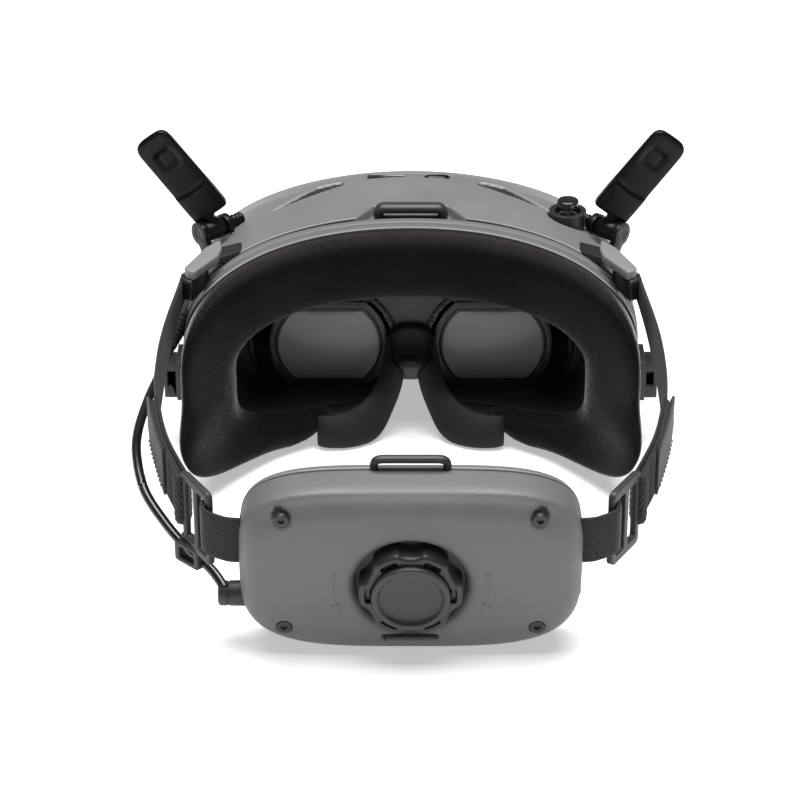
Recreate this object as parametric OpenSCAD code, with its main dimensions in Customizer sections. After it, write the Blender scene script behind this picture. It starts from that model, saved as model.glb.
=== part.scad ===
// FPV video goggles: a soft-edged goggle body, two folding aerials, a head strap
// with buckles and a rear battery pack with a strap tension dial.
// Millimetres. +Y is the way the wearer looks, +X is their right, +Z is up.
// The part stands on Z = 0 on its face foam and its pack.

/* [Goggle body] */
// Width of the hard body
body_w = 155; // [145:1:165]
// Height of the body crown above the lens axis
crown_z = 51; // [48:0.5:54]
// Depth of the underside below the lens axis
under_z = 21; // [19:0.5:23]
// Wall thickness of the moulded shells
wall = 2.4; // [1.8:0.1:3]
// Distance from the lens plane to the front of the visor
visor_y = 52; // [48:1:56]
// Seam between housing and front cover
seam_y = 43; // [40:1:46]

/* [Face side] */
// Radius of the curve that the face foam follows
face_r = 88; // [84:1:92]
// Thickness of the foam cushion
foam_t = 12; // [9:0.5:15]
// Depth of the hard bezel in front of the foam
bezel_t = 8; // [6:0.5:10]
// Half width of the eye opening
eye_open_w = 60; // [56:1:64]
// Height of the eye opening above the lens axis
eye_open_top = 28; // [25:1:31]

/* [Optics] */
// Distance between the lens centres at rest
lens_gap = 58; // [56:1:60]
// Radius of the lens
lens_r = 18.7; // [17:0.1:20]
// Half height of the lens between its flats
lens_flat = 14.2; // [13:0.1:16]
// Radius of the eyepiece barrel
barrel_r = 21; // [20:0.5:22]
// Half height of the eyepiece barrel
barrel_flat = 16.5; // [16:0.1:17]
// Outward travel of each eyepiece
gap_out = 5; // [4:1:8]
// Inward travel of each eyepiece
gap_in = 1; // [0.5:0.5:2]

/* [Aerials] */
// Height of the aerial pivot above the lens axis
pivot_z = 41; // [40:0.5:42]
// Distance of the aerial pivot from the middle
pivot_x = 69; // [68:0.5:70]
// Length of an aerial from its pivot
aerial_l = 41; // [36:1:42]
// Width of an aerial
aerial_w = 13.4; // [12:0.2:15]
// Lean of an open aerial from upright, in degrees
aerial_lean = 36.5; // [30:0.5:40]

/* [Pack] */
// Width of the battery pack
pack_w = 106; // [100:1:110]
// Height of the battery pack
pack_h = 61; // [58:1:64]
// Thickness of the battery pack
pack_t = 22; // [20:1:24]
// Lean of the pack, top to the rear, in degrees
pack_lean = 8; // [4:0.5:12]
// Outer radius of the tension dial
dial_r = 15.7; // [14:0.1:17]
// Pitch radius of the dial pinion
pinion_r = 4; // [3.5:0.5:5]

/* [Strap] */
// Width of the head strap webbing
strap_w = 18; // [16:0.5:20]
// Width of the elastic at the pack
elastic_w = 16; // [14:0.5:17]
// Radius of the power lead
lead_r = 1.6; // [1.4:0.1:2]

/* [Hidden] */
lens_y = 56.5;
lens_z = 25.55;
foam_low = 26.15;
face_y = -18 - face_r;
bezel_r = face_r + foam_t;
housing_r = bezel_r + bezel_t;
pack_y = -147.4;
pack_z = 5.2;
dial_z = -3;
fit = 0.05;
gap = 0.3;
body_rings = [
    [-72, 0, 3.6], [-36, 0, 3.6], [-14, 0, 3.2], [4, 0, 2.7], [20, 0, 2.35], [30, 0, 2.15],
    [38, 0.7, 2], [seam_y, 1.8, 2], [46.5, 4.5, 2], [49.5, 9, 2], [51.4, 15, 2], [visor_y, 21, 2]
];
face_rings = [[-75, 3.6], [-36, 3.6], [-14, 3.2], [4, 2.7], [12, 2.5]];
pack_rings = [
    [-1, 7], [-0.96, 4.8], [-0.86, 2.6], [-0.66, 0.9], [-0.36, 0], [0.72, 0], [0.9, 0.8], [1, 2.5]
];
strap_path = [
    [-76.2, -33, 42], [-79.6, -54, 36.5], [-81.6, -74, 31], [-81.4, -92, 26.6],
    [-77.4, -112, 21.2], [-69.8, -129, 16.4]
];
return_path = [[-72, -128.6, 16.4], [-78.7, -113, 21], [-82, -98, 25]];
tail_path = [[-77.6, -119, 19.6], [-81.8, -104, 23.4], [-84.4, -91, 26]];
elastic_path = [[-66.5, -140, 14.4], [-60.5, -144, 13.4], [-54, -147.4, 12.2], [-40, -148.2, 12.2]];
lead_path = [
    [-79.3, -33, 24.5], [-81.5, -41, 21], [-83.6, -52, 19], [-86.8, -68, 17], [-88.8, -85, 14.8],
    [-88.2, -98, 12.4], [-84.6, -112, 8], [-77, -124, 3], [-70.5, -131.5, -0.4],
    [-62.4, -139.6, -3.6], [-57.6, -146.4, -6.8]
];

// ---- shared forms ----

function power(v, e) = sign(v) * pow(abs(v), e);

// A rounded outline in the XZ plane, with its own roundness above and below the middle
function outline(w, top, low, mid, n_up, n_low, y, count) = [
    for (i = [0:count - 1])
        let (a = 360 * i / count, n = sin(a) >= 0 ? n_up : n_low)
        [w * power(cos(a), 2 / n), y, mid + (sin(a) >= 0 ? top - mid : mid - low) * power(sin(a), 2 / n)]
];

// A closed solid through rings of points
module skin(rings) {
    count = len(rings[0]);
    last = len(rings) - 1;
    points = [for (r = rings) for (p = r) p];
    sides = [
        for (k = [0:last - 1]) for (i = [0:count - 1])
            let (a = k * count + i, b = k * count + (i + 1) % count)
            each [[a, b, a + count], [b, b + count, a + count]]
    ];
    polyhedron(
        points,
        concat([[for (i = [count - 1:-1:0]) i]], sides, [[for (i = [0:count - 1]) last * count + i]]),
        convexity = 6
    );
}

function blend_point(p, i, t) =
    let (a = p[max(i - 1, 0)], b = p[i], c = p[i + 1], d = p[min(i + 2, len(p) - 1)])
    0.5 * (2 * b + (c - a) * t + (2 * a - 5 * b + 4 * c - d) * t * t + (3 * b - a - 3 * c + d) * t * t * t);

// A smooth curve through the points of a path
function curve(p, steps) = concat(
    [for (i = [0:len(p) - 2]) for (k = [0:steps - 1]) blend_point(p, i, k / steps)],
    [p[len(p) - 1]]
);

function unit(v) = v / norm(v);
function along(p, i) = unit(p[min(i + 1, len(p) - 1)] - p[max(i - 1, 0)]);
function across(p, i) = let (t = along(p, i)) unit([t[1], -t[0], 0]);

// A flat band that stands on edge along a path
module band(path, tall, thick) {
    p = curve(path, 4);
    skin([
        for (i = [0:len(p) - 1])
            let (s = across(p, i) * thick / 2, h = [0, 0, tall / 2])
            [p[i] - s - h, p[i] + s - h, p[i] + s + h, p[i] - s + h]
    ]);
}

// A round lead along a path
module lead(path, r) {
    p = curve(path, 4);
    skin([
        for (i = [0:len(p) - 1])
            let (t = along(p, i), s = across(p, i), u = cross(s, t))
            [for (k = [0:9]) p[i] + r * (cos(36 * k) * s + sin(36 * k) * u)]
    ]);
}

module at_lens() {
    translate([0, lens_y, lens_z]) children();
}

module at_pack() {
    at_lens() translate([0, pack_y, pack_z]) rotate([pack_lean, 0, 0]) children();
}

// The right-hand twin of a left-hand piece
module on_side(side) {
    if (side < 0) {
        children();
    } else {
        mirror([1, 0, 0]) children();
    }
}

module body_form(inset) {
    skin([
        for (r = body_rings)
            outline(
                body_w / 2 - r[1] - inset, crown_z - r[1] - inset, r[1] * 0.8 + inset - under_z,
                12, r[2], 3.4, r[0] > seam_y ? r[0] - inset : r[0], 48
            )
    ]);
}

module face_prism(w, top, low) {
    skin([for (r = face_rings) outline(w, top, low, 12, r[1], 3.4, r[0], 48)]);
}

module eye_opening(grow) {
    skin([
        for (y = [-75, 12])
            outline(eye_open_w + grow, eye_open_top + grow, -16 - grow, 6, 3.5, 5, y, 48)
    ]);
}

module head_form(r) {
    translate([0, face_y, -60]) cylinder(h = 160, r = r, $fn = 128);
}

module pack_form(inset) {
    skin([
        for (r = pack_rings)
            outline(
                pack_w / 2 - r[1] - inset, pack_h / 2 - r[1] - inset, r[1] + inset - pack_h / 2,
                0, 4.4, 4.4, r[0] * (pack_t / 2 - inset), 48
            )
    ]);
}

// A disc or bar whose axis runs along Y, from y0 to y1
module along_y(y0, y1, r) {
    translate([0, y1, 0]) rotate([90, 0, 0]) cylinder(h = y1 - y0, r = r, $fn = 64);
}

module along_x(x0, x1, r) {
    translate([x0, 0, 0]) rotate([0, 90, 0]) cylinder(h = x1 - x0, r = r, $fn = 64);
}

// ---- goggle body ----

module loop_recess(grow) {
    translate([-19 - grow, -1 - grow, 46.6 - grow]) cube([38 + 2 * grow, 13 + 2 * grow, 12]);
}

module port_band() {
    translate([-17.5, 34.4, 49.5]) cube([35, 5.6, 4]);
}

module usb_form(grow) {
    translate([7, 37.2, 44]) cylinder(h = 8, r = 1.7 + grow, $fn = 48);
    translate([11.6, 37.2, 44]) cylinder(h = 8, r = 1.7 + grow, $fn = 48);
    translate([7, 35.5 - grow, 44]) cube([4.6, 3.4 + 2 * grow, 8]);
}

module card_form(grow) {
    translate([-14.6 - grow, 36.2 - grow, 44]) cube([12.4 + 2 * grow, 2 + 2 * grow, 8]);
}

module vent_prism() {
    linear_extrude(60) polygon([[-49, 18], [-24, 30.5], [-24, 34.5], [-33, 33]]);
    linear_extrude(60) polygon([[49, 18], [24, 30.5], [24, 34.5], [33, 33]]);
}

module knob_slot(side) {
    on_side(side) translate([-lens_gap / 2, 17, -30]) {
        translate([gap_in, 0, 0]) cylinder(h = 20, r = 7.4, $fn = 48);
        translate([-gap_out, 0, 0]) cylinder(h = 20, r = 7.4, $fn = 48);
        translate([-gap_out, -7.4, 0]) cube([gap_out + gap_in, 14.8, 20]);
    }
}

// Room for the wearer's nose, cut up from the underside between the two lenses
module nose_gap(grow, y0) {
    intersection() {
        translate([0, 0, -40]) linear_extrude(60) polygon([
            [-8 - grow, y0], [-8 - grow, 0], [-6.2 - grow, 5], [-5.3 - grow, 8], [-4 - grow, 17],
            [-3 - grow, 25], [-2.8 - grow, 29.6 + grow], [2.8 + grow, 29.6 + grow], [3 + grow, 25],
            [4 + grow, 17], [5.3 + grow, 8], [6.2 + grow, 5], [8 + grow, 0], [8 + grow, y0]
        ]);
        rotate([90, 0, 90]) translate([0, 0, -30]) linear_extrude(60) polygon([
            [-31, -40], [-31, 12.75 + grow], [29.6 + grow, -20.8 + grow * 0.6], [29.6 + grow, -40]
        ]);
    }
}

module main_housing() {
    color([0.3, 0.3, 0.31]) at_lens() difference() {
        intersection() {
            body_form(0);
            translate([-100, -80, -40]) cube([200, seam_y + 80, 120]);
        }
        head_form(housing_r);
        difference() {
            body_form(wall);
            loop_recess(wall - 0.4);
            intersection() {
                nose_gap(1.5, 6);
                translate([-20, 8, -40]) cube([40, 40, 60]);
            }
        }
        nose_gap(0, -30);
        loop_recess(0);
        port_band();
        usb_form(0.6);
        card_form(0.8);
        vent_prism();
        knob_slot(-1);
        knob_slot(1);
        translate([54.8, 15, 30]) cylinder(h = 20, r = 6.5, $fn = 64);
        translate([0, 28, 12]) along_x(70, 80, 3.3);
        translate([0, 28, 0]) along_x(70, 80, 3.3);
    }
}

module front_cover() {
    color([0.2, 0.2, 0.21]) at_lens() difference() {
        intersection() {
            body_form(0);
            translate([-100, seam_y, -40]) cube([200, 40, 120]);
        }
        body_form(wall);
        for (x = [-36:6:36]) {
            translate([x - 1.2, 40, -16]) cube([2.4, 20, 7]);
        }
    }
}

module rear_bezel() {
    color([0.24, 0.24, 0.25]) at_lens() difference() {
        intersection() {
            face_prism(body_w / 2 - 0.6, crown_z - 0.6, 0.6 - under_z);
            head_form(housing_r - 0.1);
        }
        head_form(bezel_r);
        eye_opening(2);
        nose_gap(0, -30);
    }
}

module face_foam() {
    color([0.2, 0.18, 0.18]) at_lens() difference() {
        intersection() {
            face_prism(body_w / 2 - 1, crown_z - 1, -foam_low);
            head_form(bezel_r);
        }
        head_form(face_r);
        eye_opening(0);
        translate([-32, -60, -40]) cube([64, 80, 30]);
    }
}

module bridge_form() {
    skin([
        for (r = [[-14, 1.5], [-13, 4.2], [-9, 6.8], [-2, 8.2], [2.6, 8.2], [3.4, 6.2], [8, 6.2]])
            outline(r[1], 3.5 + 0.85 * r[1], 3.5 - 0.85 * r[1], 3.5, 2.2, 2.2, r[0], 32)
    ]);
}

module nose_flap() {
    at_lens() difference() {
        intersection() {
            translate([0, 20, 0]) rotate([90, 0, 0]) linear_extrude(60) polygon([
                [-32, -25.4], [-21, -25.4], [-13, -20.5], [-7, -12.5], [-3, -3], [-6, 4],
                [-14, -4], [-23, -13], [-32, -16]
            ]);
            head_form(face_r + 2.4);
        }
        head_form(face_r + 0.4);
        bridge_form();
    }
}

module nose_flap_left() {
    color([0.1, 0.1, 0.1]) nose_flap();
}

module nose_flap_right() {
    color([0.1, 0.1, 0.1]) mirror([1, 0, 0]) nose_flap();
}

module nose_bridge() {
    color([0.13, 0.13, 0.13]) at_lens() bridge_form();
}

module barrel_hole() {
    for (x = [-gap_out, gap_in]) {
        translate([x - lens_gap / 2, 0, 0]) intersection() {
            along_y(0, 20, barrel_r + 0.5);
            translate([-30, 0, -barrel_flat - 0.5]) cube([60, 20, 2 * barrel_flat + 1]);
        }
    }
    translate([-gap_out - lens_gap / 2, 0, -barrel_flat - 0.5])
        cube([gap_out + gap_in, 20, 2 * barrel_flat + 1]);
}

module eye_plate() {
    color([0.12, 0.12, 0.13]) at_lens() difference() {
        intersection() {
            body_form(wall);
            translate([-90, 8, -40]) cube([180, 2, 100]);
        }
        loop_recess(wall - 0.4);
        barrel_hole();
        mirror([1, 0, 0]) barrel_hole();
        nose_gap(1.6, -30);
        translate([54.8, 15, 30]) cylinder(h = 20, r = 7, $fn = 64);
    }
}

module optics_bracket() {
    color([0.16, 0.16, 0.17]) at_lens() difference() {
        translate([-4, 10, 2]) cube([8, 26.5, 20.5]);
        translate([0, 21, 19]) along_x(-5, 5, 1.5);
        translate([0, 33, 8]) along_x(-5, 5, 1.5);
    }
}

module guide_rails() {
    color([0.7, 0.7, 0.72]) at_lens() {
        translate([0, 21, 19]) along_x(-56, 56, 1.5);
        translate([0, 33, 8]) along_x(-56, 56, 1.5);
    }
}

module mainboard() {
    color([0.05, 0.2, 0.12]) at_lens() difference() {
        translate([-44, 12, 22.5]) cube([88, 28, 1.6]);
        translate([-38, 36, 20]) cylinder(h = 8, r = 1.3, $fn = 32);
        translate([38, 36, 20]) cylinder(h = 8, r = 1.3, $fn = 32);
    }
}

module fan_housing() {
    color([0.08, 0.08, 0.08]) at_lens() translate([0, 26, 24.1]) {
        difference() {
            cylinder(h = 9, r = 13.5, $fn = 72);
            translate([0, 0, 1]) cylinder(h = 9, r = 12.4, $fn = 72);
            translate([-4, 0, 1.4]) cube([8, 20, 6.4]);
        }
        cylinder(h = 7.4, r = 1, $fn = 32);
    }
}

module fan_rotor() {
    color([0.15, 0.15, 0.16]) at_lens() translate([0, 26, 25.6]) difference() {
        union() {
            cylinder(h = 6.4, r = 4.6, $fn = 48);
            cylinder(h = 0.8, r = 11, $fn = 64);
            for (i = [0:8]) {
                rotate([0, 0, 40 * i]) translate([3.8, -0.45, 0]) cube([7.6, 0.9, 6]);
            }
        }
        translate([0, 0, -1]) cylinder(h = 10, r = 1 + fit, $fn = 32);
    }
}

module front_loop() {
    color([0.08, 0.08, 0.08]) at_lens() difference() {
        union() {
            translate([-13, 2.6, 46.6]) cube([26, 5.4, 4.4]);
            translate([0, 5.3, 51]) along_x(-13, 13, 2.7);
        }
        translate([-10, 0, 46]) cube([20, 12, 3.6]);
    }
}

module usb_port() {
    color([0.6, 0.6, 0.62]) at_lens() difference() {
        intersection() {
            usb_form(0.6);
            translate([0, 30, 44]) cube([20, 12, 5.4]);
        }
        translate([0, 0, 1]) intersection() {
            usb_form(0);
            translate([0, 30, 43]) cube([20, 12, 20]);
        }
    }
}

module card_slot() {
    color([0.45, 0.45, 0.47]) at_lens() difference() {
        intersection() {
            card_form(0.8);
            translate([-20, 30, 44]) cube([30, 12, 5.4]);
        }
        translate([-14, 36.5, 45.4]) cube([11.2, 1.4, 8]);
    }
}

module vent_grilles() {
    color([0.1, 0.1, 0.1]) at_lens() difference() {
        intersection() {
            body_form(0.5);
            vent_prism();
        }
        body_form(1.7);
        for (side = [-1, 1]) for (k = [0:5]) {
            translate([side * (26 + 3.2 * k), 31 - 1.1 * k, 20])
                cylinder(h = 40, r = 0.9, $fn = 16);
        }
    }
}

module arm_form() {
    p = [[-54, -6, 45.6], [-60, -11.5, 45.8], [-74.8, -34, 47.8]];
    half = [6.4, 5.8, 2.7];
    skin([
        for (i = [0:2])
            let (s = unit([0.78, -0.62, 0]) * half[i], h = [0, 0, 1.7])
            [p[i] + s - h, p[i] - s - h, p[i] - s + h, p[i] + s + h]
    ]);
}

module strap_arm() {
    at_lens() difference() {
        arm_form();
        body_form(0);
    }
}

module strap_arm_left() {
    color([0.62, 0.63, 0.64]) strap_arm();
}

module strap_arm_right() {
    color([0.62, 0.63, 0.64]) mirror([1, 0, 0]) strap_arm();
}

module side_bracket() {
    at_lens() difference() {
        union() {
            translate([-81, -23, -8]) cube([6, 14, 15]);
            translate([-85.4, -21, -5]) cube([6, 10, 10]);
            translate([-85.4, -21, -8]) cube([5, 6, 4]);
        }
        body_form(0);
        translate([-84, -25, -3]) cube([2.4, 12, 5]);
    }
}

module side_bracket_left() {
    color([0.04, 0.04, 0.04]) side_bracket();
}

module side_bracket_right() {
    color([0.04, 0.04, 0.04]) mirror([1, 0, 0]) side_bracket();
}

// ---- folding aerials ----

// The fold axis is level and points outward and to the rear
module at_fold_axis() {
    at_lens() translate([-pivot_x, 12, pivot_z]) rotate([0, 90, 40 - 180]) children();
}

module hinge_yoke(side) {
    difference() {
        on_side(side) at_fold_axis() difference() {
            for (z = [-6.3, 4.1]) {
                translate([0, 0, z]) cylinder(h = 2.2, r = 4.2, $fn = 48);
                translate([0, 0, z]) rotate([0, 0, 36]) translate([0, -2.6, 0]) cube([13, 5.2, 2.2]);
            }
            translate([0, 0, -8]) cylinder(h = 16, r = 1.5, $fn = 48);
        }
        at_lens() body_form(0);
    }
}

module hinge_yoke_left() {
    color([0.07, 0.07, 0.07]) hinge_yoke(-1);
}

module hinge_yoke_right() {
    color([0.07, 0.07, 0.07]) hinge_yoke(1);
}

module hinge_pins() {
    color([0.72, 0.72, 0.74]) for (side = [-1, 1]) {
        on_side(side) at_fold_axis() translate([0, 0, -6.3]) cylinder(h = 12.6, r = 1.5, $fn = 48);
    }
}

// The blade stands a little inboard of its pivot
module at_aerial() {
    at_lens() translate([-pivot_x, 12, pivot_z]) rotate([0, -aerial_lean, 0]) translate([3.8, 0, 0]) children();
}

module blade(from, to, w, t, r) {
    for (x = [r - w / 2, w / 2 - r]) for (z = [from + r, to - r]) {
        translate([x, 0, z]) along_y(-t / 2, t / 2, r);
    }
    translate([-w / 2, -t / 2, from + r]) cube([w, t, to - from - 2 * r]);
    translate([r - w / 2, -t / 2, from]) cube([w - 2 * r, t, to - from]);
}

module antenna() {
    difference() {
        union() {
            at_fold_axis() translate([0, 0, -3.8]) cylinder(h = 7.6, r = 3.6, $fn = 48);
            at_aerial() {
                blade(5, 24, aerial_w, 4.4, 2);
                blade(14, aerial_l, aerial_w - 0.4, 3.4, 3);
                translate([-4.2, -2, 0]) cube([4, 4, 10]);
            }
        }
        at_fold_axis() translate([0, 0, -8]) cylinder(h = 16, r = 1.5 + fit, $fn = 48);
        at_aerial() translate([-1.7, -2.5, aerial_l - 12.8]) cube([5.2, 1.2, 5.2]);
        for (z = [-6.6, 3.8]) at_fold_axis() translate([0, 0, z]) cylinder(h = 2.8, r = 4.5, $fn = 48);
    }
}

module antenna_left() {
    color([0.05, 0.05, 0.05]) antenna();
}

module antenna_right() {
    color([0.05, 0.05, 0.05]) mirror([1, 0, 0]) antenna();
}

// ---- joystick and buttons ----

module at_nav() {
    at_lens() translate([54.8, 15, 44]) children();
}

module nav_base() {
    color([0.1, 0.1, 0.1]) at_nav() difference() {
        translate([0, 0, -6]) cylinder(h = 8.9, r = 6.5, $fn = 64);
        translate([0, 0, -4]) cylinder(h = 8, r = 4.6, $fn = 64);
        along_x(-6, 6, 0.5 + fit);
    }
}

module nav_gimbal() {
    color([0.5, 0.5, 0.52]) at_nav() difference() {
        union() {
            translate([0, 0, -1]) cylinder(h = 2, r = 3.9, $fn = 48);
            along_x(3, 5.6, 0.5);
            along_x(-5.6, -3, 0.5);
        }
        translate([0, 0, -2]) cylinder(h = 4, r = 2.7, $fn = 48);
        along_y(-4.2, 4.2, 0.5 + fit);
    }
}

module nav_stem() {
    color([0.55, 0.55, 0.57]) at_nav() {
        translate([0, 0, -2.5]) cylinder(h = 8.3, r = 1.2, $fn = 48);
        along_y(-3.4, 3.4, 0.5);
    }
}

module nav_cap() {
    color([0.06, 0.06, 0.06]) at_nav() difference() {
        intersection() {
            translate([0, 0, 4.4]) cylinder(h = 4, r = 3.8, $fn = 64);
            translate([0, 0, -2.4]) sphere(r = 10, $fn = 96);
        }
        translate([0, 0, 4]) cylinder(h = 2.8, r = 1.2 + fit, $fn = 48);
    }
}

module side_button(z, back) {
    at_lens() translate([0, 28, z]) {
        along_x(back + 0.6, 78.2, 3);
        along_x(back, back + 1.2, 4);
    }
}

module back_button() {
    color([0.08, 0.08, 0.08]) side_button(12, 72.4);
}

module record_button() {
    color([0.5, 0.08, 0.06]) side_button(0, 70.6);
}

// ---- optics ----

module eyepiece() {
    at_lens() translate([-lens_gap / 2, 0, 0]) difference() {
        union() {
            intersection() {
                along_y(4, 30, barrel_r);
                translate([-30, 0, -barrel_flat]) cube([60, 40, 2 * barrel_flat]);
            }
            translate([-7, 18, 15]) cube([14, 6, 6.5]);
            translate([-7, 29, 4]) cube([14, 7, 8]);
        }
        intersection() {
            along_y(3, 26, lens_r + gap);
            translate([-30, 0, -lens_flat - gap]) cube([60, 40, 2 * (lens_flat + gap)]);
        }
        translate([-7, 25, -6]) cube([14, 2.2, 12]);
        translate([0, 21, 19]) along_x(-10, 10, 1.5 + fit);
        translate([0, 33, 8]) along_x(-10, 10, 1.5 + fit);
        translate([0, 17, -20]) cylinder(h = 4.8, r = 1.5 + fit, $fn = 48);
    }
}

module lens() {
    at_lens() translate([-lens_gap / 2, 0, 0]) intersection() {
        translate([0, 58, 0]) sphere(r = 51, $fn = 128);
        along_y(5, 14, lens_r);
        translate([-30, 0, -lens_flat]) cube([60, 40, 2 * lens_flat]);
    }
}

module display() {
    at_lens() translate([-7 - lens_gap / 2, 25, -6]) cube([14, 2.2, 12]);
}

module focus_knob() {
    at_lens() translate([-lens_gap / 2, 17, 0]) difference() {
        union() {
            translate([0, 0, -23.4]) cylinder(h = 6.4, r = 5, $fn = 64);
            translate([0, 0, -18]) cylinder(h = 2.6, r = 1.5, $fn = 48);
        }
        for (i = [0:11]) {
            rotate([0, 0, 30 * i]) translate([5.5, 0, -24]) cylinder(h = 6, r = 0.9, $fn = 16);
        }
    }
}

module eyepiece_left() {
    color([0.06, 0.06, 0.06]) eyepiece();
}

module eyepiece_right() {
    color([0.06, 0.06, 0.06]) mirror([1, 0, 0]) eyepiece();
}

module lens_left() {
    color([0.55, 0.6, 0.6, 0.6]) lens();
}

module lens_right() {
    color([0.55, 0.6, 0.6, 0.6]) mirror([1, 0, 0]) lens();
}

module display_left() {
    color([0.02, 0.02, 0.05]) display();
}

module display_right() {
    color([0.02, 0.02, 0.05]) mirror([1, 0, 0]) display();
}

module focus_knob_left() {
    color([0.1, 0.1, 0.1]) focus_knob();
}

module focus_knob_right() {
    color([0.1, 0.1, 0.1]) mirror([1, 0, 0]) focus_knob();
}

// ---- head strap ----

module at_buckle() {
    at_lens() translate([-66, -138.4, 14.4]) rotate([0, 0, -59.5]) children();
}

module buckle_form() {
    at_buckle() difference() {
        translate([-9, -1.1, -13]) cube([18, 2.2, 26]);
        translate([-6.8, -4, -10]) cube([5.6, 8, 20]);
        translate([1.2, -4, -10]) cube([5.6, 8, 20]);
    }
}

module lead_clip() {
    at_lens() translate([-68.4, -133.4, -1.2]) rotate([0, 0, -45]) difference() {
        union() {
            translate([-5.5, -3, -3.6]) cube([11, 6, 7.2]);
            translate([-4.6, -0.7, 2]) cube([4.4, 2.4, 3.6]);
        }
        translate([-3.4, -4, -2]) cube([6.8, 3, 4]);
    }
}

module webbing() {
    difference() {
        at_lens() {
            band(strap_path, strap_w, 1.4);
            band(return_path, strap_w, 1.4);
            band(tail_path, strap_w - 1, 1.2);
            translate([-71.2, -129.6, 7.4]) cylinder(h = strap_w, r = 2.8, $fn = 32);
        }
        at_lens() arm_form();
        buckle_form();
    }
}

module strap_left() {
    color([0.16, 0.16, 0.17]) webbing();
}

module strap_right() {
    color([0.16, 0.16, 0.17]) mirror([1, 0, 0]) webbing();
}

module buckle_left() {
    color([0.28, 0.28, 0.29]) difference() {
        union() {
            buckle_form();
            lead_clip();
        }
        at_lens() lead(lead_path, lead_r);
    }
}

module buckle_right() {
    color([0.28, 0.28, 0.29]) mirror([1, 0, 0]) buckle_form();
}

module elastic() {
    difference() {
        at_lens() band(elastic_path, elastic_w, 1.4);
        buckle_form();
    }
}

module elastic_left() {
    color([0.2, 0.2, 0.2]) elastic();
}

module elastic_right() {
    color([0.2, 0.2, 0.2]) mirror([1, 0, 0]) elastic();
}

// ---- power lead ----

module power_plug() {
    color([0.1, 0.1, 0.1]) at_lens() difference() {
        lead([[-75, -20, 31], [-77.4, -27, 27.6], [-80.4, -37, 22.8]], 3.6);
        body_form(0);
        lead(lead_path, lead_r);
    }
}

module power_lead() {
    color([0.03, 0.03, 0.03]) at_lens() lead(lead_path, lead_r);
}

module lead_outlet() {
    color([0.16, 0.16, 0.17]) difference() {
        at_pack() translate([0, 0.5, -14.4]) along_x(-60, -50, 4);
        at_pack() pack_form(0);
        at_lens() lead(lead_path, lead_r);
    }
}

// ---- battery pack ----

module screw_places() {
    for (x = [-39.2, 39.2]) for (z = [-19.4, 23]) {
        translate([x, 0, z]) children();
    }
}

module strap_slots() {
    for (side = [-1, 1]) {
        on_side(side) translate([-60, -1.8, 7 - elastic_w / 2 - 1]) cube([14, 5.4, elastic_w + 2]);
    }
}

module pack_inner_shell() {
    color([0.2, 0.2, 0.21]) at_pack() difference() {
        pack_form(0);
        translate([-60, -20, -40]) cube([120, 26, 80]);
        pack_form(wall);
    }
}

module pack_cover() {
    color([0.36, 0.36, 0.37]) at_pack() difference() {
        union() {
            difference() {
                pack_form(0);
                translate([-60, 6, -40]) cube([120, 20, 80]);
                pack_form(wall);
            }
            intersection() {
                pack_form(0.1);
                union() {
                    translate([0, 0, dial_z]) along_y(-12, -5.4, 19.4);
                    screw_places() along_y(-12, 6, 3.4);
                    translate([-20, -9, dial_z + 9.3]) cube([40, 7, 1.4]);
                    translate([-20, -9, dial_z - 10.7]) cube([40, 7, 1.4]);
                }
            }
        }
        translate([0, 0, dial_z]) along_y(-14, -6.6, 18);
        translate([0, 0, dial_z]) along_y(-14, 0, 5 + fit);
        screw_places() along_y(-12, -8.4, 2.3);
        screw_places() along_y(-12, 4, 1.1);
        strap_slots();
        translate([0, 1.5, -12]) along_x(48, 54, 3.3);
    }
}

module pack_loop() {
    color([0.18, 0.18, 0.19]) at_pack() difference() {
        union() {
            translate([-12.4, 5, 26]) cube([24.8, 3.4, 6]);
            translate([-10.4, 5, 31]) cube([20.8, 3.4, 3.4]);
            translate([-10.4, 0, 32.4]) along_y(5, 8.4, 2);
            translate([10.4, 0, 32.4]) along_y(5, 8.4, 2);
        }
        translate([-9.6, 0, 20]) cube([19.2, 12, 12.2]);
        pack_form(0);
    }
}

module pack_screws() {
    color([0.12, 0.12, 0.12]) at_pack() screw_places() difference() {
        union() {
            along_y(-10, -8.4, 2.3);
            along_y(-9, 4, 1.1);
        }
        along_y(-11, -9.2, 1);
    }
}

module battery_cells() {
    color([0.1, 0.25, 0.4]) at_pack() for (x = [-33.5, 3]) {
        translate([x, 2.2, -25]) cube([30.5, 6.4, 50]);
    }
}

module at_dial() {
    at_pack() translate([0, 0, dial_z]) children();
}

module dial_ring() {
    color([0.08, 0.08, 0.08]) at_dial() difference() {
        union() {
            along_y(-14.6, -7, dial_r);
            along_y(-8, -5.2, 5);
            along_y(-5.3, -2.3, pinion_r - 1);
            for (i = [0:9]) {
                rotate([0, 36 * i, 0]) translate([-0.5, -5.3, 0]) cube([1, 3, pinion_r + 0.6]);
            }
        }
        for (i = [0:5]) {
            rotate([0, 60 * i, 0]) translate([0, 0, dial_r + 6.6]) along_y(-16, -6, 8.1);
            rotate([0, 60 * i + 30, 0]) translate([-3, -15, 12.4]) cube([6, 2, 1.4]);
        }
    }
}

module dial_cap() {
    color([0.12, 0.12, 0.12]) at_dial() difference() {
        along_y(-16.6, -14.6, 11.8);
        translate([0, -40, 0]) sphere(r = 24.6, $fn = 96);
    }
}

module rack_bar() {
    pitch = 2 * PI * pinion_r / 10;
    translate([-40, -5, pinion_r + 1]) cube([52, 2.6, 4]);
    for (i = [-6:4]) {
        translate([pitch * (i + 0.5) - 0.5, -5, pinion_r - 0.6]) cube([1, 2.6, 1.8]);
    }
}

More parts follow.
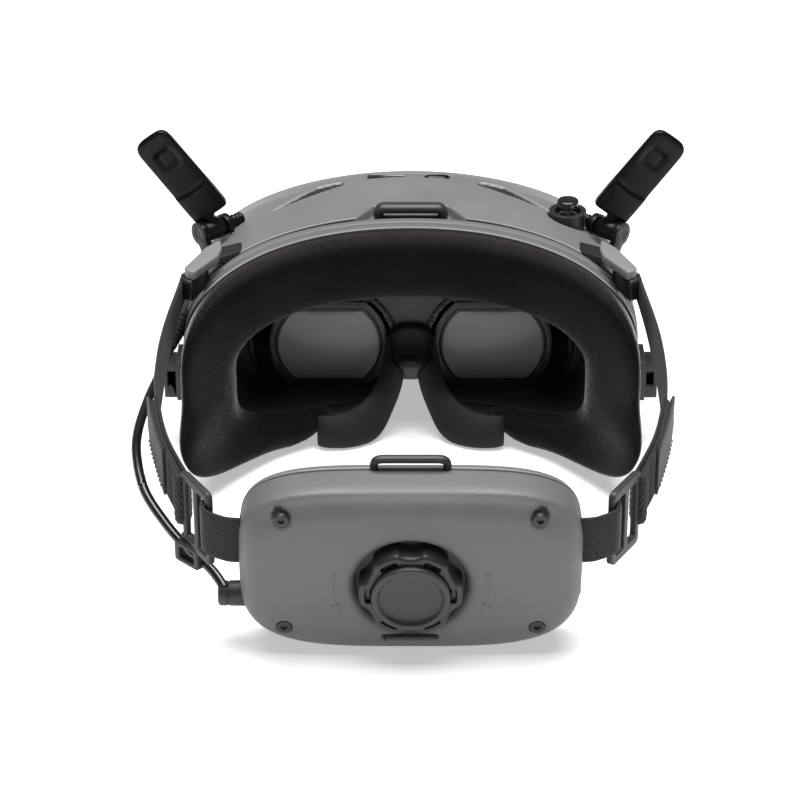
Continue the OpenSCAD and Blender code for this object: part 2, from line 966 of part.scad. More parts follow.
module rack_left() {
    color([0.75, 0.75, 0.74]) at_dial() {
        rack_bar();
        translate([-39.7, -5, 1]) cube([3, 5, 17]);
    }
}

module rack_right() {
    color([0.75, 0.75, 0.74]) at_dial() {
        rotate([0, 180, 0]) rack_bar();
        translate([36.7, -5, -9]) cube([3, 5, 27]);
    }
}

module power_button() {
    color([0.5, 0.5, 0.52]) at_pack() translate([0, 1.5, -12]) {
        along_x(48.6, 53, 3);
        along_x(48, 49.2, 4);
    }
}

// ---- build ----

main_housing();
front_cover();
rear_bezel();
face_foam();
nose_flap_left();
nose_flap_right();
nose_bridge();
eye_plate();
optics_bracket();
guide_rails();
mainboard();
fan_housing();
fan_rotor();
front_loop();
usb_port();
card_slot();
vent_grilles();
strap_arm_left();
strap_arm_right();
side_bracket_left();
side_bracket_right();
hinge_yoke_left();
hinge_yoke_right();
hinge_pins();
antenna_left();
antenna_right();
nav_base();
nav_gimbal();
nav_stem();
nav_cap();
back_button();
record_button();
eyepiece_left();
eyepiece_right();
lens_left();
lens_right();
display_left();
display_right();
focus_knob_left();
focus_knob_right();
strap_left();
strap_right();
buckle_left();
buckle_right();
elastic_left();
elastic_right();
power_plug();
power_lead();
lead_outlet();
pack_inner_shell();
pack_cover();
pack_loop();
pack_screws();
battery_cells();
dial_ring();
dial_cap();
rack_left();
rack_right();
power_button();
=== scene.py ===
"""The looks of the video goggles: every shell, pad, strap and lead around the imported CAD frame."""

import math

import bmesh
import bpy
import numpy as np
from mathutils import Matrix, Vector, noise


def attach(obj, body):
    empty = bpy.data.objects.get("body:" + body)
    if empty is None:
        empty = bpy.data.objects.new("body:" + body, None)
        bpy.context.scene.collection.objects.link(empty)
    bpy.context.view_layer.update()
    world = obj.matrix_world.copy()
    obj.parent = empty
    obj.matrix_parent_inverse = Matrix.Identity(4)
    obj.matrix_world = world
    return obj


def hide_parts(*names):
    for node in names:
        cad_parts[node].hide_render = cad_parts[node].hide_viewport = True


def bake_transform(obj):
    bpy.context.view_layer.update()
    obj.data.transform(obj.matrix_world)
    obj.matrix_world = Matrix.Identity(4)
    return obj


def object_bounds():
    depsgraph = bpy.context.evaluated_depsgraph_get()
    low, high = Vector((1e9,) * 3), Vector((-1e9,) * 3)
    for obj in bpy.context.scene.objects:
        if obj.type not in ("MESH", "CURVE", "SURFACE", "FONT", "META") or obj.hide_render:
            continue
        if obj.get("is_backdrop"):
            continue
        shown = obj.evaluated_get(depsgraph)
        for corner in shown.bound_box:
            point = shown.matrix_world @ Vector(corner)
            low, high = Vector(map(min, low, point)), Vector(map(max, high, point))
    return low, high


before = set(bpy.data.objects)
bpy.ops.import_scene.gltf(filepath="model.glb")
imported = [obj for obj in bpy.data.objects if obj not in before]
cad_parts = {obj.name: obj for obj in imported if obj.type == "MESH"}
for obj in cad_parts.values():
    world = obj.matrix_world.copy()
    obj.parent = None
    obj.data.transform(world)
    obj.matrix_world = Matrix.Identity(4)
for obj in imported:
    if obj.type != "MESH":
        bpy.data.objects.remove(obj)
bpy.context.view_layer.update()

MM = 0.001
LENS = np.array([0.0, 56.5, 25.55])  # lens axis in the row frame, mm
TAU = 2 * math.pi


def lens_point(p):
    """A point in mm about the lens axis, as metres in the row frame."""
    return tuple((np.asarray(p, float) + LENS) * MM)


# ------------------------------------------------------------------ materials

def new_material(name):
    m = bpy.data.materials.new(name)
    m.use_nodes = True
    return m, m.node_tree.nodes, m.node_tree.links


def node(nodes, kind, **values):
    n = nodes.new(kind)
    for key, value in values.items():
        if hasattr(n, key):
            setattr(n, key, value)
        else:
            n.inputs[key.replace("_", " ")].default_value = value
    return n


def ramp(nodes, stops):
    r = nodes.new("ShaderNodeValToRGB")
    while len(r.color_ramp.elements) < len(stops):
        r.color_ramp.elements.new(0.5)
    for e, (at, c) in zip(r.color_ramp.elements, stops):
        e.position = at
        e.color = (*c, 1) if hasattr(c, "__len__") else (c, c, c, 1)
    return r


def texture(nodes, links, at, kind="Noise", **values):
    """A texture node fed with the coordinates at."""
    t = node(nodes, "ShaderNodeTex" + kind, **values)
    links.new(at, t.inputs["Vector"])
    return t


def moulded(name, color, rough=0.5, grain=2600.0, depth=0.00002, mottle=0.12, wear=0.25, metallic=0.0,
            pebble=0.0, sheen=0.0, coat=0.0, specular=0.5):
    """Moulded plastic, rubber or metal: fine texture, uneven tone, lighter rubbed edges, uneven gloss."""
    m, n, l = new_material(name)
    b = n["Principled BSDF"]
    at = node(n, "ShaderNodeTexCoord").outputs["Object"]
    soft = texture(n, l, at, Scale=38.0, Detail=5.0, Roughness=0.6)
    c = np.array(color)
    tone = ramp(n, [(0.3, tuple(c * (1 - mottle))), (0.72, tuple(np.minimum(c * (1 + mottle), 1)))])
    l.new(soft.outputs["Fac"], tone.inputs["Fac"])
    edge = node(n, "ShaderNodeNewGeometry").outputs["Pointiness"]
    wear_and_painted_sheen = ramp(n, [(0.52, 0.0), (0.62, 1.0)])
    l.new(edge, wear_and_painted_sheen.inputs["Fac"])
    patchy = texture(n, l, at, Scale=220.0, Detail=3.0)
    amount = node(n, "ShaderNodeMath", operation="MULTIPLY")
    l.new(wear_and_painted_sheen.outputs["Color"], amount.inputs[0])
    l.new(patchy.outputs["Fac"], amount.inputs[1])
    worn = node(n, "ShaderNodeMix", data_type="RGBA", blend_type="MIX")
    worn.inputs[7].default_value = (*np.minimum(c * (1 + wear) + wear * 0.05, 1), 1)
    l.new(tone.outputs["Color"], worn.inputs[6])
    l.new(amount.outputs[0], worn.inputs[0])
    l.new(worn.outputs[2], b.inputs["Base Color"])
    fine = texture(n, l, at, Scale=grain, Detail=2.0, Roughness=0.55)
    gloss = node(n, "ShaderNodeMapRange")
    gloss.inputs["From Min"].default_value = 0.3
    gloss.inputs["From Max"].default_value = 0.7
    gloss.inputs["To Min"].default_value = max(rough - 0.07, 0.02)
    gloss.inputs["To Max"].default_value = min(rough + 0.07, 1.0)
    l.new(soft.outputs["Fac"], gloss.inputs["Value"])
    line = texture(n, l, at, Scale=60.0, Detail=8.0, Roughness=0.75, Distortion=0.6)
    scuff = ramp(n, [(0.66, 0.0), (0.74, 1.0)])
    l.new(line.outputs["Fac"], scuff.inputs["Fac"])
    rougher = node(n, "ShaderNodeMath", operation="MULTIPLY_ADD")
    rougher.inputs[1].default_value = 0.12
    l.new(scuff.outputs["Color"], rougher.inputs[0])
    l.new(gloss.outputs["Result"], rougher.inputs[2])
    l.new(rougher.outputs[0], b.inputs["Roughness"])
    height = fine.outputs["Fac"]
    if pebble:
        cells = texture(n, l, at, "Voronoi", feature="SMOOTH_F1", Scale=pebble)
        both = node(n, "ShaderNodeMath", operation="MULTIPLY_ADD")
        both.inputs[1].default_value = 0.35
        l.new(height, both.inputs[0])
        l.new(cells.outputs["Distance"], both.inputs[2])
        height = both.outputs[0]
    bump = node(n, "ShaderNodeBump", Strength=1.0, Distance=depth)
    l.new(height, bump.inputs["Height"])
    l.new(bump.outputs["Normal"], b.inputs["Normal"])
    b.inputs["Metallic"].default_value = metallic
    b.inputs["Specular IOR Level"].default_value = specular
    if sheen:
        b.inputs["Sheen Weight"].default_value = sheen
        b.inputs["Sheen Roughness"].default_value = 0.45
    if coat:
        b.inputs["Coat Weight"].default_value = coat
        b.inputs["Coat Roughness"].default_value = 0.12
    return m


def leatherette(name, dark, light):
    """Fine-grained stretch leatherette over foam: cells, creases, a brown cast in the dark parts, painted
    sheen on the rims.
    """
    m, n, l = new_material(name)
    b = n["Principled BSDF"]
    at = node(n, "ShaderNodeTexCoord").outputs["Object"]
    warp = texture(n, l, at, Scale=420.0, Detail=3.0)
    push = node(n, "ShaderNodeVectorMath", operation="MULTIPLY_ADD")
    push.inputs[1].default_value = (0.0006,) * 3
    l.new(warp.outputs["Color"], push.inputs[0])
    l.new(at, push.inputs[2])
    cells = node(n, "ShaderNodeTexVoronoi", feature="DISTANCE_TO_EDGE", Scale=900.0)
    l.new(push.outputs[0], cells.inputs["Vector"])
    valley = ramp(n, [(0.0, 0.0), (0.22, 1.0)])
    l.new(cells.outputs["Distance"], valley.inputs["Fac"])
    cloud = texture(n, l, at, Scale=45.0, Detail=5.0, Roughness=0.6)
    tone = ramp(n, [(0.32, dark), (0.7, light)])
    l.new(cloud.outputs["Fac"], tone.inputs["Fac"])
    speck = texture(n, l, at, Scale=1800.0, Detail=2.0)
    fleck = ramp(n, [(0.35, 0.72), (0.65, 1.25)])
    l.new(speck.outputs["Fac"], fleck.inputs["Fac"])
    mix = node(n, "ShaderNodeMix", data_type="RGBA", blend_type="MULTIPLY")
    mix.inputs[0].default_value = 1.0
    l.new(tone.outputs["Color"], mix.inputs[6])
    l.new(fleck.outputs["Color"], mix.inputs[7])
    gloss = node(n, "ShaderNodeMapRange")
    gloss.inputs["To Min"].default_value = 0.78
    gloss.inputs["To Max"].default_value = 0.58
    l.new(valley.outputs["Color"], gloss.inputs["Value"])
    l.new(gloss.outputs["Result"], b.inputs["Roughness"])
    total = node(n, "ShaderNodeMath", operation="MULTIPLY_ADD")
    total.inputs[1].default_value = 0.4
    l.new(speck.outputs["Fac"], total.inputs[0])
    l.new(valley.outputs["Color"], total.inputs[2])
    bump = node(n, "ShaderNodeBump", Strength=0.9, Distance=0.00008)
    l.new(total.outputs[0], bump.inputs["Height"])
    l.new(bump.outputs["Normal"], b.inputs["Normal"])
    # painted sheen: the stretched skin's colour is made up to 4.5 times paler where it turns away from the
    # face side, standing in for the grazing sheen on the pad's rims
    turn = node(n, "ShaderNodeVectorMath", operation="DOT_PRODUCT")
    turn.inputs[1].default_value = (0, -0.87, 0.49)
    l.new(node(n, "ShaderNodeTexCoord").outputs["Normal"], turn.inputs[0])
    painted_sheen = ramp(n, [(0.3, 4.5), (0.85, 1.0)])
    l.new(turn.outputs["Value"], painted_sheen.inputs["Fac"])
    wear_and_painted_sheen = node(n, "ShaderNodeMix", data_type="RGBA", blend_type="MULTIPLY")
    wear_and_painted_sheen.inputs[0].default_value = 1.0
    l.new(mix.outputs[2], wear_and_painted_sheen.inputs[6])
    l.new(painted_sheen.outputs["Color"], wear_and_painted_sheen.inputs[7])
    l.new(wear_and_painted_sheen.outputs[2], b.inputs["Base Color"])
    b.inputs["Specular IOR Level"].default_value = 0.1
    b.inputs["Sheen Weight"].default_value = 0.6
    b.inputs["Sheen Roughness"].default_value = 0.26
    b.inputs["Sheen Tint"].default_value = (1.0, 0.95, 0.96, 1)
    return m


def woven(name, dark, light, first=("Y", 524.0), second=("Z", 524.0), deep=0.00012):
    """Close-woven webbing: two crossing thread waves in the surface and the colour, fibre flecks in the
    colour; the waves' dark valleys are painted shade between the ribs.
    """
    m, n, l = new_material(name)
    b = n["Principled BSDF"]
    at = node(n, "ShaderNodeTexCoord").outputs["Object"]
    waves = []
    for way, scale in (first, second):
        w = node(n, "ShaderNodeTexWave", wave_type="BANDS", bands_direction=way, Scale=scale,
                 Distortion=0.8)
        w.inputs["Detail Scale"].default_value = 3.0
        l.new(at, w.inputs["Vector"])
        waves.append(w)
    weave = node(n, "ShaderNodeMix", data_type="FLOAT")
    weave.inputs[0].default_value = 0.28
    l.new(waves[0].outputs["Fac"], weave.inputs[2])
    l.new(waves[1].outputs["Fac"], weave.inputs[3])
    fibre = texture(n, l, at, Scale=900.0, Detail=4.0, Roughness=0.7)
    mixed = node(n, "ShaderNodeMath", operation="MULTIPLY_ADD")
    mixed.inputs[1].default_value = 0.5
    l.new(weave.outputs[0], mixed.inputs[0])
    l.new(fibre.outputs["Fac"], mixed.inputs[2])
    # painted shade: the thread waves darken the colour in their valleys, standing in for shade between the
    # ribs, over the thread pattern and fibre flecks
    tone = ramp(n, [(0.3, dark), (0.85, light)])
    l.new(mixed.outputs[0], tone.inputs["Fac"])
    l.new(tone.outputs["Color"], b.inputs["Base Color"])
    gloss = node(n, "ShaderNodeMapRange")
    gloss.inputs["To Min"].default_value = 0.9
    gloss.inputs["To Max"].default_value = 0.62
    l.new(mixed.outputs[0], gloss.inputs["Value"])
    l.new(gloss.outputs["Result"], b.inputs["Roughness"])
    bump = node(n, "ShaderNodeBump", Strength=0.7, Distance=deep)
    l.new(mixed.outputs[0], bump.inputs["Height"])
    l.new(bump.outputs["Normal"], b.inputs["Normal"])
    b.inputs["Specular IOR Level"].default_value = 0.25
    b.inputs["Sheen Weight"].default_value = 0.08
    b.inputs["Sheen Roughness"].default_value = 0.5
    return m


SHELL = moulded("shell_grey", (0.15, 0.15, 0.152), rough=0.42, grain=4200.0, depth=0.000012, mottle=0.05,
                wear=0.15)
BEZEL = moulded("bezel_grey", (0.12, 0.12, 0.121), rough=0.45, grain=4200.0, depth=0.000012, mottle=0.05,
                wear=0.2)
VISOR = moulded("visor_grey", (0.022, 0.022, 0.023), rough=0.32, grain=4200.0, depth=0.00001, mottle=0.1,
                coat=0.25)
DARK = moulded("dark_grey", (0.019, 0.019, 0.0195), rough=0.48, grain=3200.0, depth=0.00002, mottle=0.12)
BLACK = moulded("satin_black", (0.009, 0.009, 0.0092), rough=0.42, grain=3200.0, depth=0.000018,
                mottle=0.15)
GLOSS = moulded("gloss_black", (0.006, 0.006, 0.0062), rough=0.2, grain=2400.0, depth=0.000006, mottle=0.15,
                coat=0.4)
LIGHT = moulded("light_grey", (0.185, 0.185, 0.187), rough=0.5, grain=2600.0, depth=0.00002, mottle=0.05)
COVER = moulded("cover_grey", (0.115, 0.115, 0.116), rough=0.5, grain=2600.0, depth=0.00006, mottle=0.06,
                pebble=1500.0, wear=0.12)
BUCKLE = moulded("buckle_grey", (0.021, 0.021, 0.0215), rough=0.5, grain=2600.0, depth=0.00003, mottle=0.08,
                 pebble=1700.0)
DIAL = moulded("dial_grey", (0.014, 0.014, 0.0142), rough=0.42, grain=3200.0, depth=0.00002, mottle=0.1)
CAP = moulded("cap_grey", (0.026, 0.026, 0.0262), rough=0.5, grain=3200.0, depth=0.00002, mottle=0.1)
AERIAL = moulded("aerial_black", (0.0032, 0.0032, 0.0033), rough=0.3, grain=3200.0, depth=0.000014,
                 mottle=0.15,
                specular=0.2)
RUBBER = moulded("soft_rubber", (0.0075, 0.0075, 0.0077), rough=0.6, grain=3600.0, depth=0.000015,
                 mottle=0.1,
                 sheen=0.06, specular=0.35)
FOAM = leatherette("foam_skin", (0.0022, 0.0015, 0.0017), (0.0056, 0.0045, 0.0047))
WEB = woven("webbing", (0.002, 0.002, 0.0021), (0.026, 0.026, 0.0262), first=("Y", 400.0),
            second=("Z", 400.0))
TAIL = woven("hook_tape", (0.011, 0.011, 0.0112), (0.024, 0.024, 0.0245), deep=0.00005)
ELASTIC = woven("elastic", (0.0015, 0.0015, 0.0016), (0.03, 0.03, 0.0305), first=("DIAGONAL", 430.0),
                second=("Z", 520.0))
STEEL = moulded("steel", (0.55, 0.55, 0.56), rough=0.28, grain=5200.0, depth=0.000006, mottle=0.08,
                metallic=1.0)
BOARD = moulded("board_green", (0.012, 0.07, 0.035), rough=0.4, grain=900.0, depth=0.00002, mottle=0.3,
                coat=0.2)
WRAP = moulded("cell_wrap", (0.03, 0.09, 0.2), rough=0.3, grain=1200.0, depth=0.000015, mottle=0.1,
               coat=0.3)
RED = moulded("red_plastic", (0.25, 0.012, 0.01), rough=0.4, grain=3000.0, depth=0.00001, mottle=0.1)
JACKET = moulded("lead_jacket", (0.007, 0.007, 0.0072), rough=0.26, grain=2600.0, depth=0.00001,
                 mottle=0.15, coat=0.35)


def lens_glass():
    m, n, l = new_material("lens_glass")
    b = n["Principled BSDF"]
    at = node(n, "ShaderNodeTexCoord").outputs["Object"]
    haze = texture(n, l, at, Scale=26.0, Detail=3.0)
    tone = ramp(n, [(0.3, (0.145, 0.15, 0.143)), (0.7, (0.185, 0.19, 0.182))])
    l.new(haze.outputs["Fac"], tone.inputs["Fac"])
    l.new(tone.outputs["Color"], b.inputs["Base Color"])
    dust = texture(n, l, at, Scale=900.0, Detail=2.0)
    gloss = ramp(n, [(0.45, 0.3), (0.75, 0.4)])
    l.new(dust.outputs["Fac"], gloss.inputs["Fac"])
    l.new(gloss.outputs["Color"], b.inputs["Roughness"])
    b.inputs["Coat Weight"].default_value = 0.18
    b.inputs["Coat Roughness"].default_value = 0.04
    b.inputs["Specular IOR Level"].default_value = 0.25
    return m


GLASS = lens_glass()

# ------------------------------------------------------------------ mesh helpers


def power(v, e):
    return np.sign(v) * np.abs(v) ** e


def outline(a, w, top, low, mid, n_up, n_low):
    """Rounded outline in the XZ plane at the angles a, as x and z."""
    s, c = np.sin(a), np.cos(a)
    n = np.where(s >= 0, n_up, n_low)
    return w * power(c, 2 / n), mid + np.where(s >= 0, top - mid, mid - low) * power(s, 2 / n)


def piece(name, verts, faces, body, slot, material, replaces=(), sharp=None, place=lens_point,
          thick=0.0, ride=True):
    me = bpy.data.meshes.new(name)
    me.from_pydata([place(v) for v in verts], [], [tuple(int(i) for i in f) for f in faces])
    bm = bmesh.new()
    bm.from_mesh(me)
    bmesh.ops.remove_doubles(bm, verts=bm.verts, dist=1e-7)
    bmesh.ops.recalc_face_normals(bm, faces=bm.faces)
    bm.to_mesh(me)
    bm.free()
    me.polygons.foreach_set("use_smooth", [True] * len(me.polygons))
    if sharp:
        me.set_sharp_from_angle(angle=math.radians(sharp))
    ob = bpy.data.objects.new(name, me)
    bpy.context.scene.collection.objects.link(ob)
    me.materials.append(material)
    if thick:
        s = ob.modifiers.new("Thickness", "SOLIDIFY")
        s.thickness = thick * MM
        s.offset = -1
    if ride:
        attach(ob, body)
    if replaces:
        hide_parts(*replaces)
    return ob


def grid_faces(rows, cols, close_rows=False, close_cols=False):
    out = []
    for i in range(rows if close_rows else rows - 1):
        for j in range(cols if close_cols else cols - 1):
            i2, j2 = (i + 1) % rows, (j + 1) % cols
            out.append((i * cols + j, i * cols + j2, i2 * cols + j2, i2 * cols + j))
    return out


def lofted(rings, caps=True):
    """Vertices and faces of a closed skin through rings of the same count, with domed or flat ends."""
    rings = [np.asarray(r, float) for r in rings]
    m = len(rings[0])
    verts = [tuple(p) for r in rings for p in r]
    faces = grid_faces(len(rings), m, close_cols=True)
    if caps:
        for k in (0, len(rings) - 1):
            centre = rings[k].mean(0)
            c = len(verts)
            verts.append(tuple(centre))
            faces += [(k * m + j, k * m + (j + 1) % m, c) for j in range(m)]
    return verts, faces


def spline(points, steps):
    """Catmull-Rom curve through points."""
    p = [np.asarray(q, float) for q in points]
    out = []
    for i in range(len(p) - 1):
        a, b, c, d = p[max(i - 1, 0)], p[i], p[i + 1], p[min(i + 2, len(p) - 1)]
        for k in range(steps):
            t = k / steps
            out.append(0.5 * (2 * b + (c - a) * t + (2 * a - 5 * b + 4 * c - d) * t * t
                              + (3 * b - a - 3 * c + d) * t ** 3))
    out.append(p[-1])
    return np.array(out)


def even(points, step):
    """The same polyline with points an even step apart."""
    p = np.asarray(points, float)
    s = np.concatenate([[0], np.cumsum(np.linalg.norm(np.diff(p, axis=0), axis=1))])
    n = max(2, int(round(s[-1] / step)) + 1)
    t = np.linspace(0, s[-1], n)
    return np.stack([np.interp(t, s, p[:, k]) for k in range(3)], 1), t


def smoothstep(a, b, x):
    t = np.clip((x - a) / (b - a), 0, 1)
    return t * t * (3 - 2 * t)


def round_box(x, z, hx, hz, r):
    """Signed distance to a rounded rectangle."""
    qx, qz = np.abs(x) - hx + r, np.abs(z) - hz + r
    return np.hypot(np.maximum(qx, 0), np.maximum(qz, 0)) + np.minimum(np.maximum(qx, qz), 0) - r


def polygon_distance(x, y, poly):
    """Signed distance to a polygon, negative inside."""
    p = np.asarray(poly, float)
    best = np.full(x.shape, 1e9)
    inside = np.zeros(x.shape, bool)
    for k in range(len(p)):
        a, b = p[k], p[(k + 1) % len(p)]
        e = b - a
        wx, wy = x - a[0], y - a[1]
        t = np.clip((wx * e[0] + wy * e[1]) / (e @ e), 0, 1)
        best = np.minimum(best, np.hypot(wx - e[0] * t, wy - e[1] * t))
        if abs(b[1] - a[1]) > 1e-9:
            crosses = ((a[1] > y) != (b[1] > y)) & (x < (b[0] - a[0]) * (y - a[1]) / (b[1] - a[1]) + a[0])
            inside ^= crosses
    return np.where(inside, -best, best)


def bake(ob):
    """Applies every modifier on a piece."""
    bpy.context.view_layer.update()
    dg = bpy.context.evaluated_depsgraph_get()
    me = bpy.data.meshes.new_from_object(ob.evaluated_get(dg))
    ob.modifiers.clear()
    ob.data = me
    return ob


def prism(loop, along):
    """Vertices and faces of a prism: a closed loop of points moved along a vector."""
    a = np.asarray(loop, float)
    b = a + np.asarray(along, float)
    n = len(a)
    faces = [(k, (k + 1) % n, n + (k + 1) % n, n + k) for k in range(n)]
    return [tuple(p) for p in np.concatenate([a, b])], faces + [tuple(range(n)),
                                                                tuple(range(2 * n - 1, n - 1, -1))]


def rounded(hx, hz, r, steps=6):
    """Loop of a rounded rectangle about the origin."""
    out = []
    for cx, cz, a0 in ((hx - r, hz - r, 0), (r - hx, hz - r, 90), (r - hx, r - hz, 180),
                       (hx - r, r - hz, 270)):
        for k in range(steps + 1):
            a = math.radians(a0 + 90 * k / steps)
            out.append((cx + r * math.cos(a), cz + r * math.sin(a)))
    return out


def carve(ob, cutters):
    """Cuts prisms (vertices, faces) out of a piece and leaves one plain mesh."""
    made = []
    for verts, faces in cutters:
        me = bpy.data.meshes.new("cutter")
        me.from_pydata([lens_point(v) for v in verts], [], faces)
        bm = bmesh.new()
        bm.from_mesh(me)
        bmesh.ops.recalc_face_normals(bm, faces=bm.faces)
        bm.to_mesh(me)
        bm.free()
        c = bpy.data.objects.new("cutter", me)
        bpy.context.scene.collection.objects.link(c)
        m = ob.modifiers.new("Cut", "BOOLEAN")
        m.object = c
        m.operation = "DIFFERENCE"
        m.solver = "EXACT"
        made.append(c)
    bake(ob)
    for c in made:
        bpy.data.objects.remove(c)
    return ob


def smooth(ob, sharp):
    """Shades a piece smooth, with edges above an angle in degrees kept sharp."""
    ob.data.polygons.foreach_set("use_smooth", [True] * len(ob.data.polygons))
    ob.data.set_sharp_from_angle(angle=math.radians(sharp))


def turned(profile, count, centre=(0.0, 0.0), along_x=False):
    """Rings about an axis along y from (radius, y) pairs, or about one along x from (x, radius) pairs."""
    turns = [TAU * j / count for j in range(count)]
    u, w = centre
    if along_x:
        return [[(x, u + r * math.cos(t), w + r * math.sin(t)) for t in turns] for x, r in profile]
    return [[(u + r * math.cos(t), y, w + r * math.sin(t)) for t in turns] for r, y in profile]


def along_path(p, t):
    """Points at the fractions t of a polyline's length."""
    d = np.concatenate([[0], np.cumsum(np.linalg.norm(np.diff(p, axis=0), axis=1))])
    return np.stack([np.interp(t * d[-1], d, p[:, k]) for k in range(3)], 1)


def turn(x, y, angle):
    """The point (x, y) turned about the origin."""
    cosine, sine = math.cos(angle), math.sin(angle)
    return x * cosine - y * sine, x * sine + y * cosine


def bevelled(ob, width, segments=3):
    """Rounds a piece's edges for good and shades it smooth."""
    w = ob.modifiers.new("Rounding", "BEVEL")
    w.width = width * MM
    w.segments = segments
    w.limit_method = "ANGLE"
    w.angle_limit = math.radians(30)
    bake(ob)
    smooth(ob, 35)
    return ob


# ------------------------------------------------------------------ goggle body

HALF_W, CROWN, UNDERSIDE, MID_Z = 77.5, 51, -21, 12  # goggle body: half width, top, bottom, widest height
LENS_X, LENS_R, LENS_FLAT, LENS_DROP = 29.0, 18.7, 14.2, 1.0  # lenses: half spacing, radius, half height, drop
NAV_X, NAV_Y = 54.8, 15.0  # joystick
HINGE_X, HINGE_Y, HINGE_Z = 69.0, 12.0, 41.0  # aerial hinge
EYE_Z = 6.0  # middle height of the face opening
# depth, how far the outline draws in, and its roundness above
BODY_RINGS = np.array([
    [-72, 0, 3.6], [-36, 0, 3.6], [-14, 0, 3.2], [4, 0, 2.7], [20, 0, 2.35], [30, 0, 2.15],
    [38, 0.7, 2], [43, 1.8, 2], [46.5, 4.5, 2], [49.5, 9, 2], [51.4, 15, 2], [52, 21, 2]])
SEAM_Y, FACE_Y = 43.0, -106.0
LOOP_SIDES = [(-18.2, 0.6), (18.2, 0.6), (12.4, 9.6), (-12.4, 9.6)]
VENT = [(24.4, 30.8), (24.6, 34.0), (32.6, 32.6), (48.0, 18.8)]


def body_at(a, y):
    """Points of the goggle body's surface at the angles a and depths y."""
    shrink = np.interp(y, BODY_RINGS[:, 0], BODY_RINGS[:, 1])
    n_up = np.interp(y, BODY_RINGS[:, 0], BODY_RINGS[:, 2])
    return outline(a, HALF_W - shrink, CROWN - shrink, UNDERSIDE + 0.8 * shrink, MID_Z, n_up, 3.4)


def angles_even(y, spacing):
    """Angles round the body whose points lie an even distance apart, closer where spacing is small."""
    a = np.linspace(0, TAU, 8001)
    x, z = body_at(a, np.full(a.shape, y))
    mid_x, mid_z = (x[1:] + x[:-1]) / 2, (z[1:] + z[:-1]) / 2
    s = np.concatenate([[0], np.cumsum(np.hypot(np.diff(x), np.diff(z)) / spacing(mid_x, mid_z))])
    n = int(s[-1])
    return np.interp(np.arange(n) * s[-1] / n, s, a)


def cylinder_y(x, r):
    return FACE_Y + np.sqrt(np.maximum(r * r - x * x, 1))


def shell_grid(a, rows, y_of):
    """Grid of body points: y_of(t, x) gives the depth of row t, solved together with x."""
    pts = np.zeros((rows, len(a), 3))
    for k in range(rows):
        t = k / (rows - 1)
        x = HALF_W * np.cos(a)
        for _ in range(12):
            y = y_of(t, x)
            x, z = body_at(a, y)
        pts[k] = np.stack([x, y, z], 1)
    return pts


def grid_normals(p):
    u = np.roll(p, -1, 1) - np.roll(p, 1, 1)
    v = np.gradient(p, axis=0)
    n = np.cross(u, v)
    n /= np.linalg.norm(n, axis=2, keepdims=True) + 1e-12
    out = p - np.array([0, 0, 12.0])
    out[..., 1] = 0
    if (n * out).sum() < 0:
        n = -n
    return n


def sink(p, depth):
    """Moves grid points inward along their normals by depth."""
    return p - grid_normals(p) * depth[..., None]


NOSE_WIDTH = [(-30, 8.0), (0, 8.0), (5, 6.2), (8, 5.3), (17, 4.0), (25, 3.0), (29.7, 2.8)]


def nose_section(y, grow=0.0, foot=-21.4):
    """Cross-section of the room for the nose: an upturned U at depth y, 33 points from foot to foot."""
    w = np.interp(y, [p[0] for p in NOSE_WIDTH], [p[1] for p in NOSE_WIDTH]) + grow
    top_z = max(-4.4 - 0.5537 * y + grow, foot + 0.3)
    r = min(2.2, w * 0.6, (top_z - foot) * 0.8)
    out = [(-w, y, foot)]
    for k in range(16):
        a = math.radians(180 - 90 * k / 15)
        out.append((-w + r + r * math.cos(a), y, top_z - r + r * math.sin(a)))
    for k in range(16):
        a = math.radians(90 - 90 * k / 15)
        out.append((w - r + r * math.cos(a), y, top_z - r + r * math.sin(a)))
    out.append((w, y, foot))
    return out


def nose_cutter():
    """The room for the nose as a solid to cut away."""
    return lofted([nose_section(y, 0.0, -34.0) for y in np.linspace(-14.0, 29.7, 30)])


angles = angles_even(14.0, lambda x, z: np.where((z > 20) & (np.abs(x) < 62), 0.36,
                                                 np.where((z < -12) & (np.abs(x) < 46), 0.7, 1.5)))
low_x, low_z = body_at(angles, np.full(angles.shape, 14.0))
for want in (-8.0, 8.0):
    k = int(np.argmin(np.where(low_z < 0, np.abs(low_x - want), 99)))
    fine_a = np.linspace(angles[k - 1], angles[k + 1], 4001)
    angles[k] = fine_a[np.argmin(np.abs(body_at(fine_a, np.full(4001, 14.0))[0] - want))]
top = shell_grid(angles, 116, lambda t,
                 x: cylinder_y(x, 108.15) + t * (SEAM_Y - 0.1 - cylinder_y(x, 108.15)))
X, Y, Z = top[..., 0], top[..., 1], top[..., 2]
above = Z > 14
depth = np.zeros(X.shape)
loop = polygon_distance(X, Y, LOOP_SIDES)
depth = np.maximum(depth, np.where(above, 3.4 * smoothstep(0.5, -0.5, loop - 0.4), 0))
port = round_box(X, Y - 37.2, 17.2, 2.9, 2.6)
depth = np.maximum(depth, np.where(above, 0.5 * smoothstep(0.35, -0.35, port), 0))
usb = round_box(X - 9.3, Y - 37.2, 4.6, 1.7, 1.65)
card = round_box(X + 8.4, Y - 37.2, 6.2, 0.75, 0.4)
depth = depth + np.where(above, 3.2 * smoothstep(0.2, -0.25, np.minimum(usb, card)), 0)
vent = polygon_distance(np.abs(X), Y, VENT) - 0.5
depth = np.maximum(depth, np.where(above, 1.3 * smoothstep(0.3, -0.3, vent), 0))
nav = np.hypot(X - NAV_X, Y - NAV_Y) - 6.9
depth = np.maximum(depth, np.where(above, 2.6 * smoothstep(0.3, -0.5, nav), 0))
nav_ring = np.abs(np.hypot(X - NAV_X, Y - NAV_Y) - 8.6)
depth = depth - np.where(above, 0.25 * smoothstep(1.6, 0.0, nav_ring), 0)
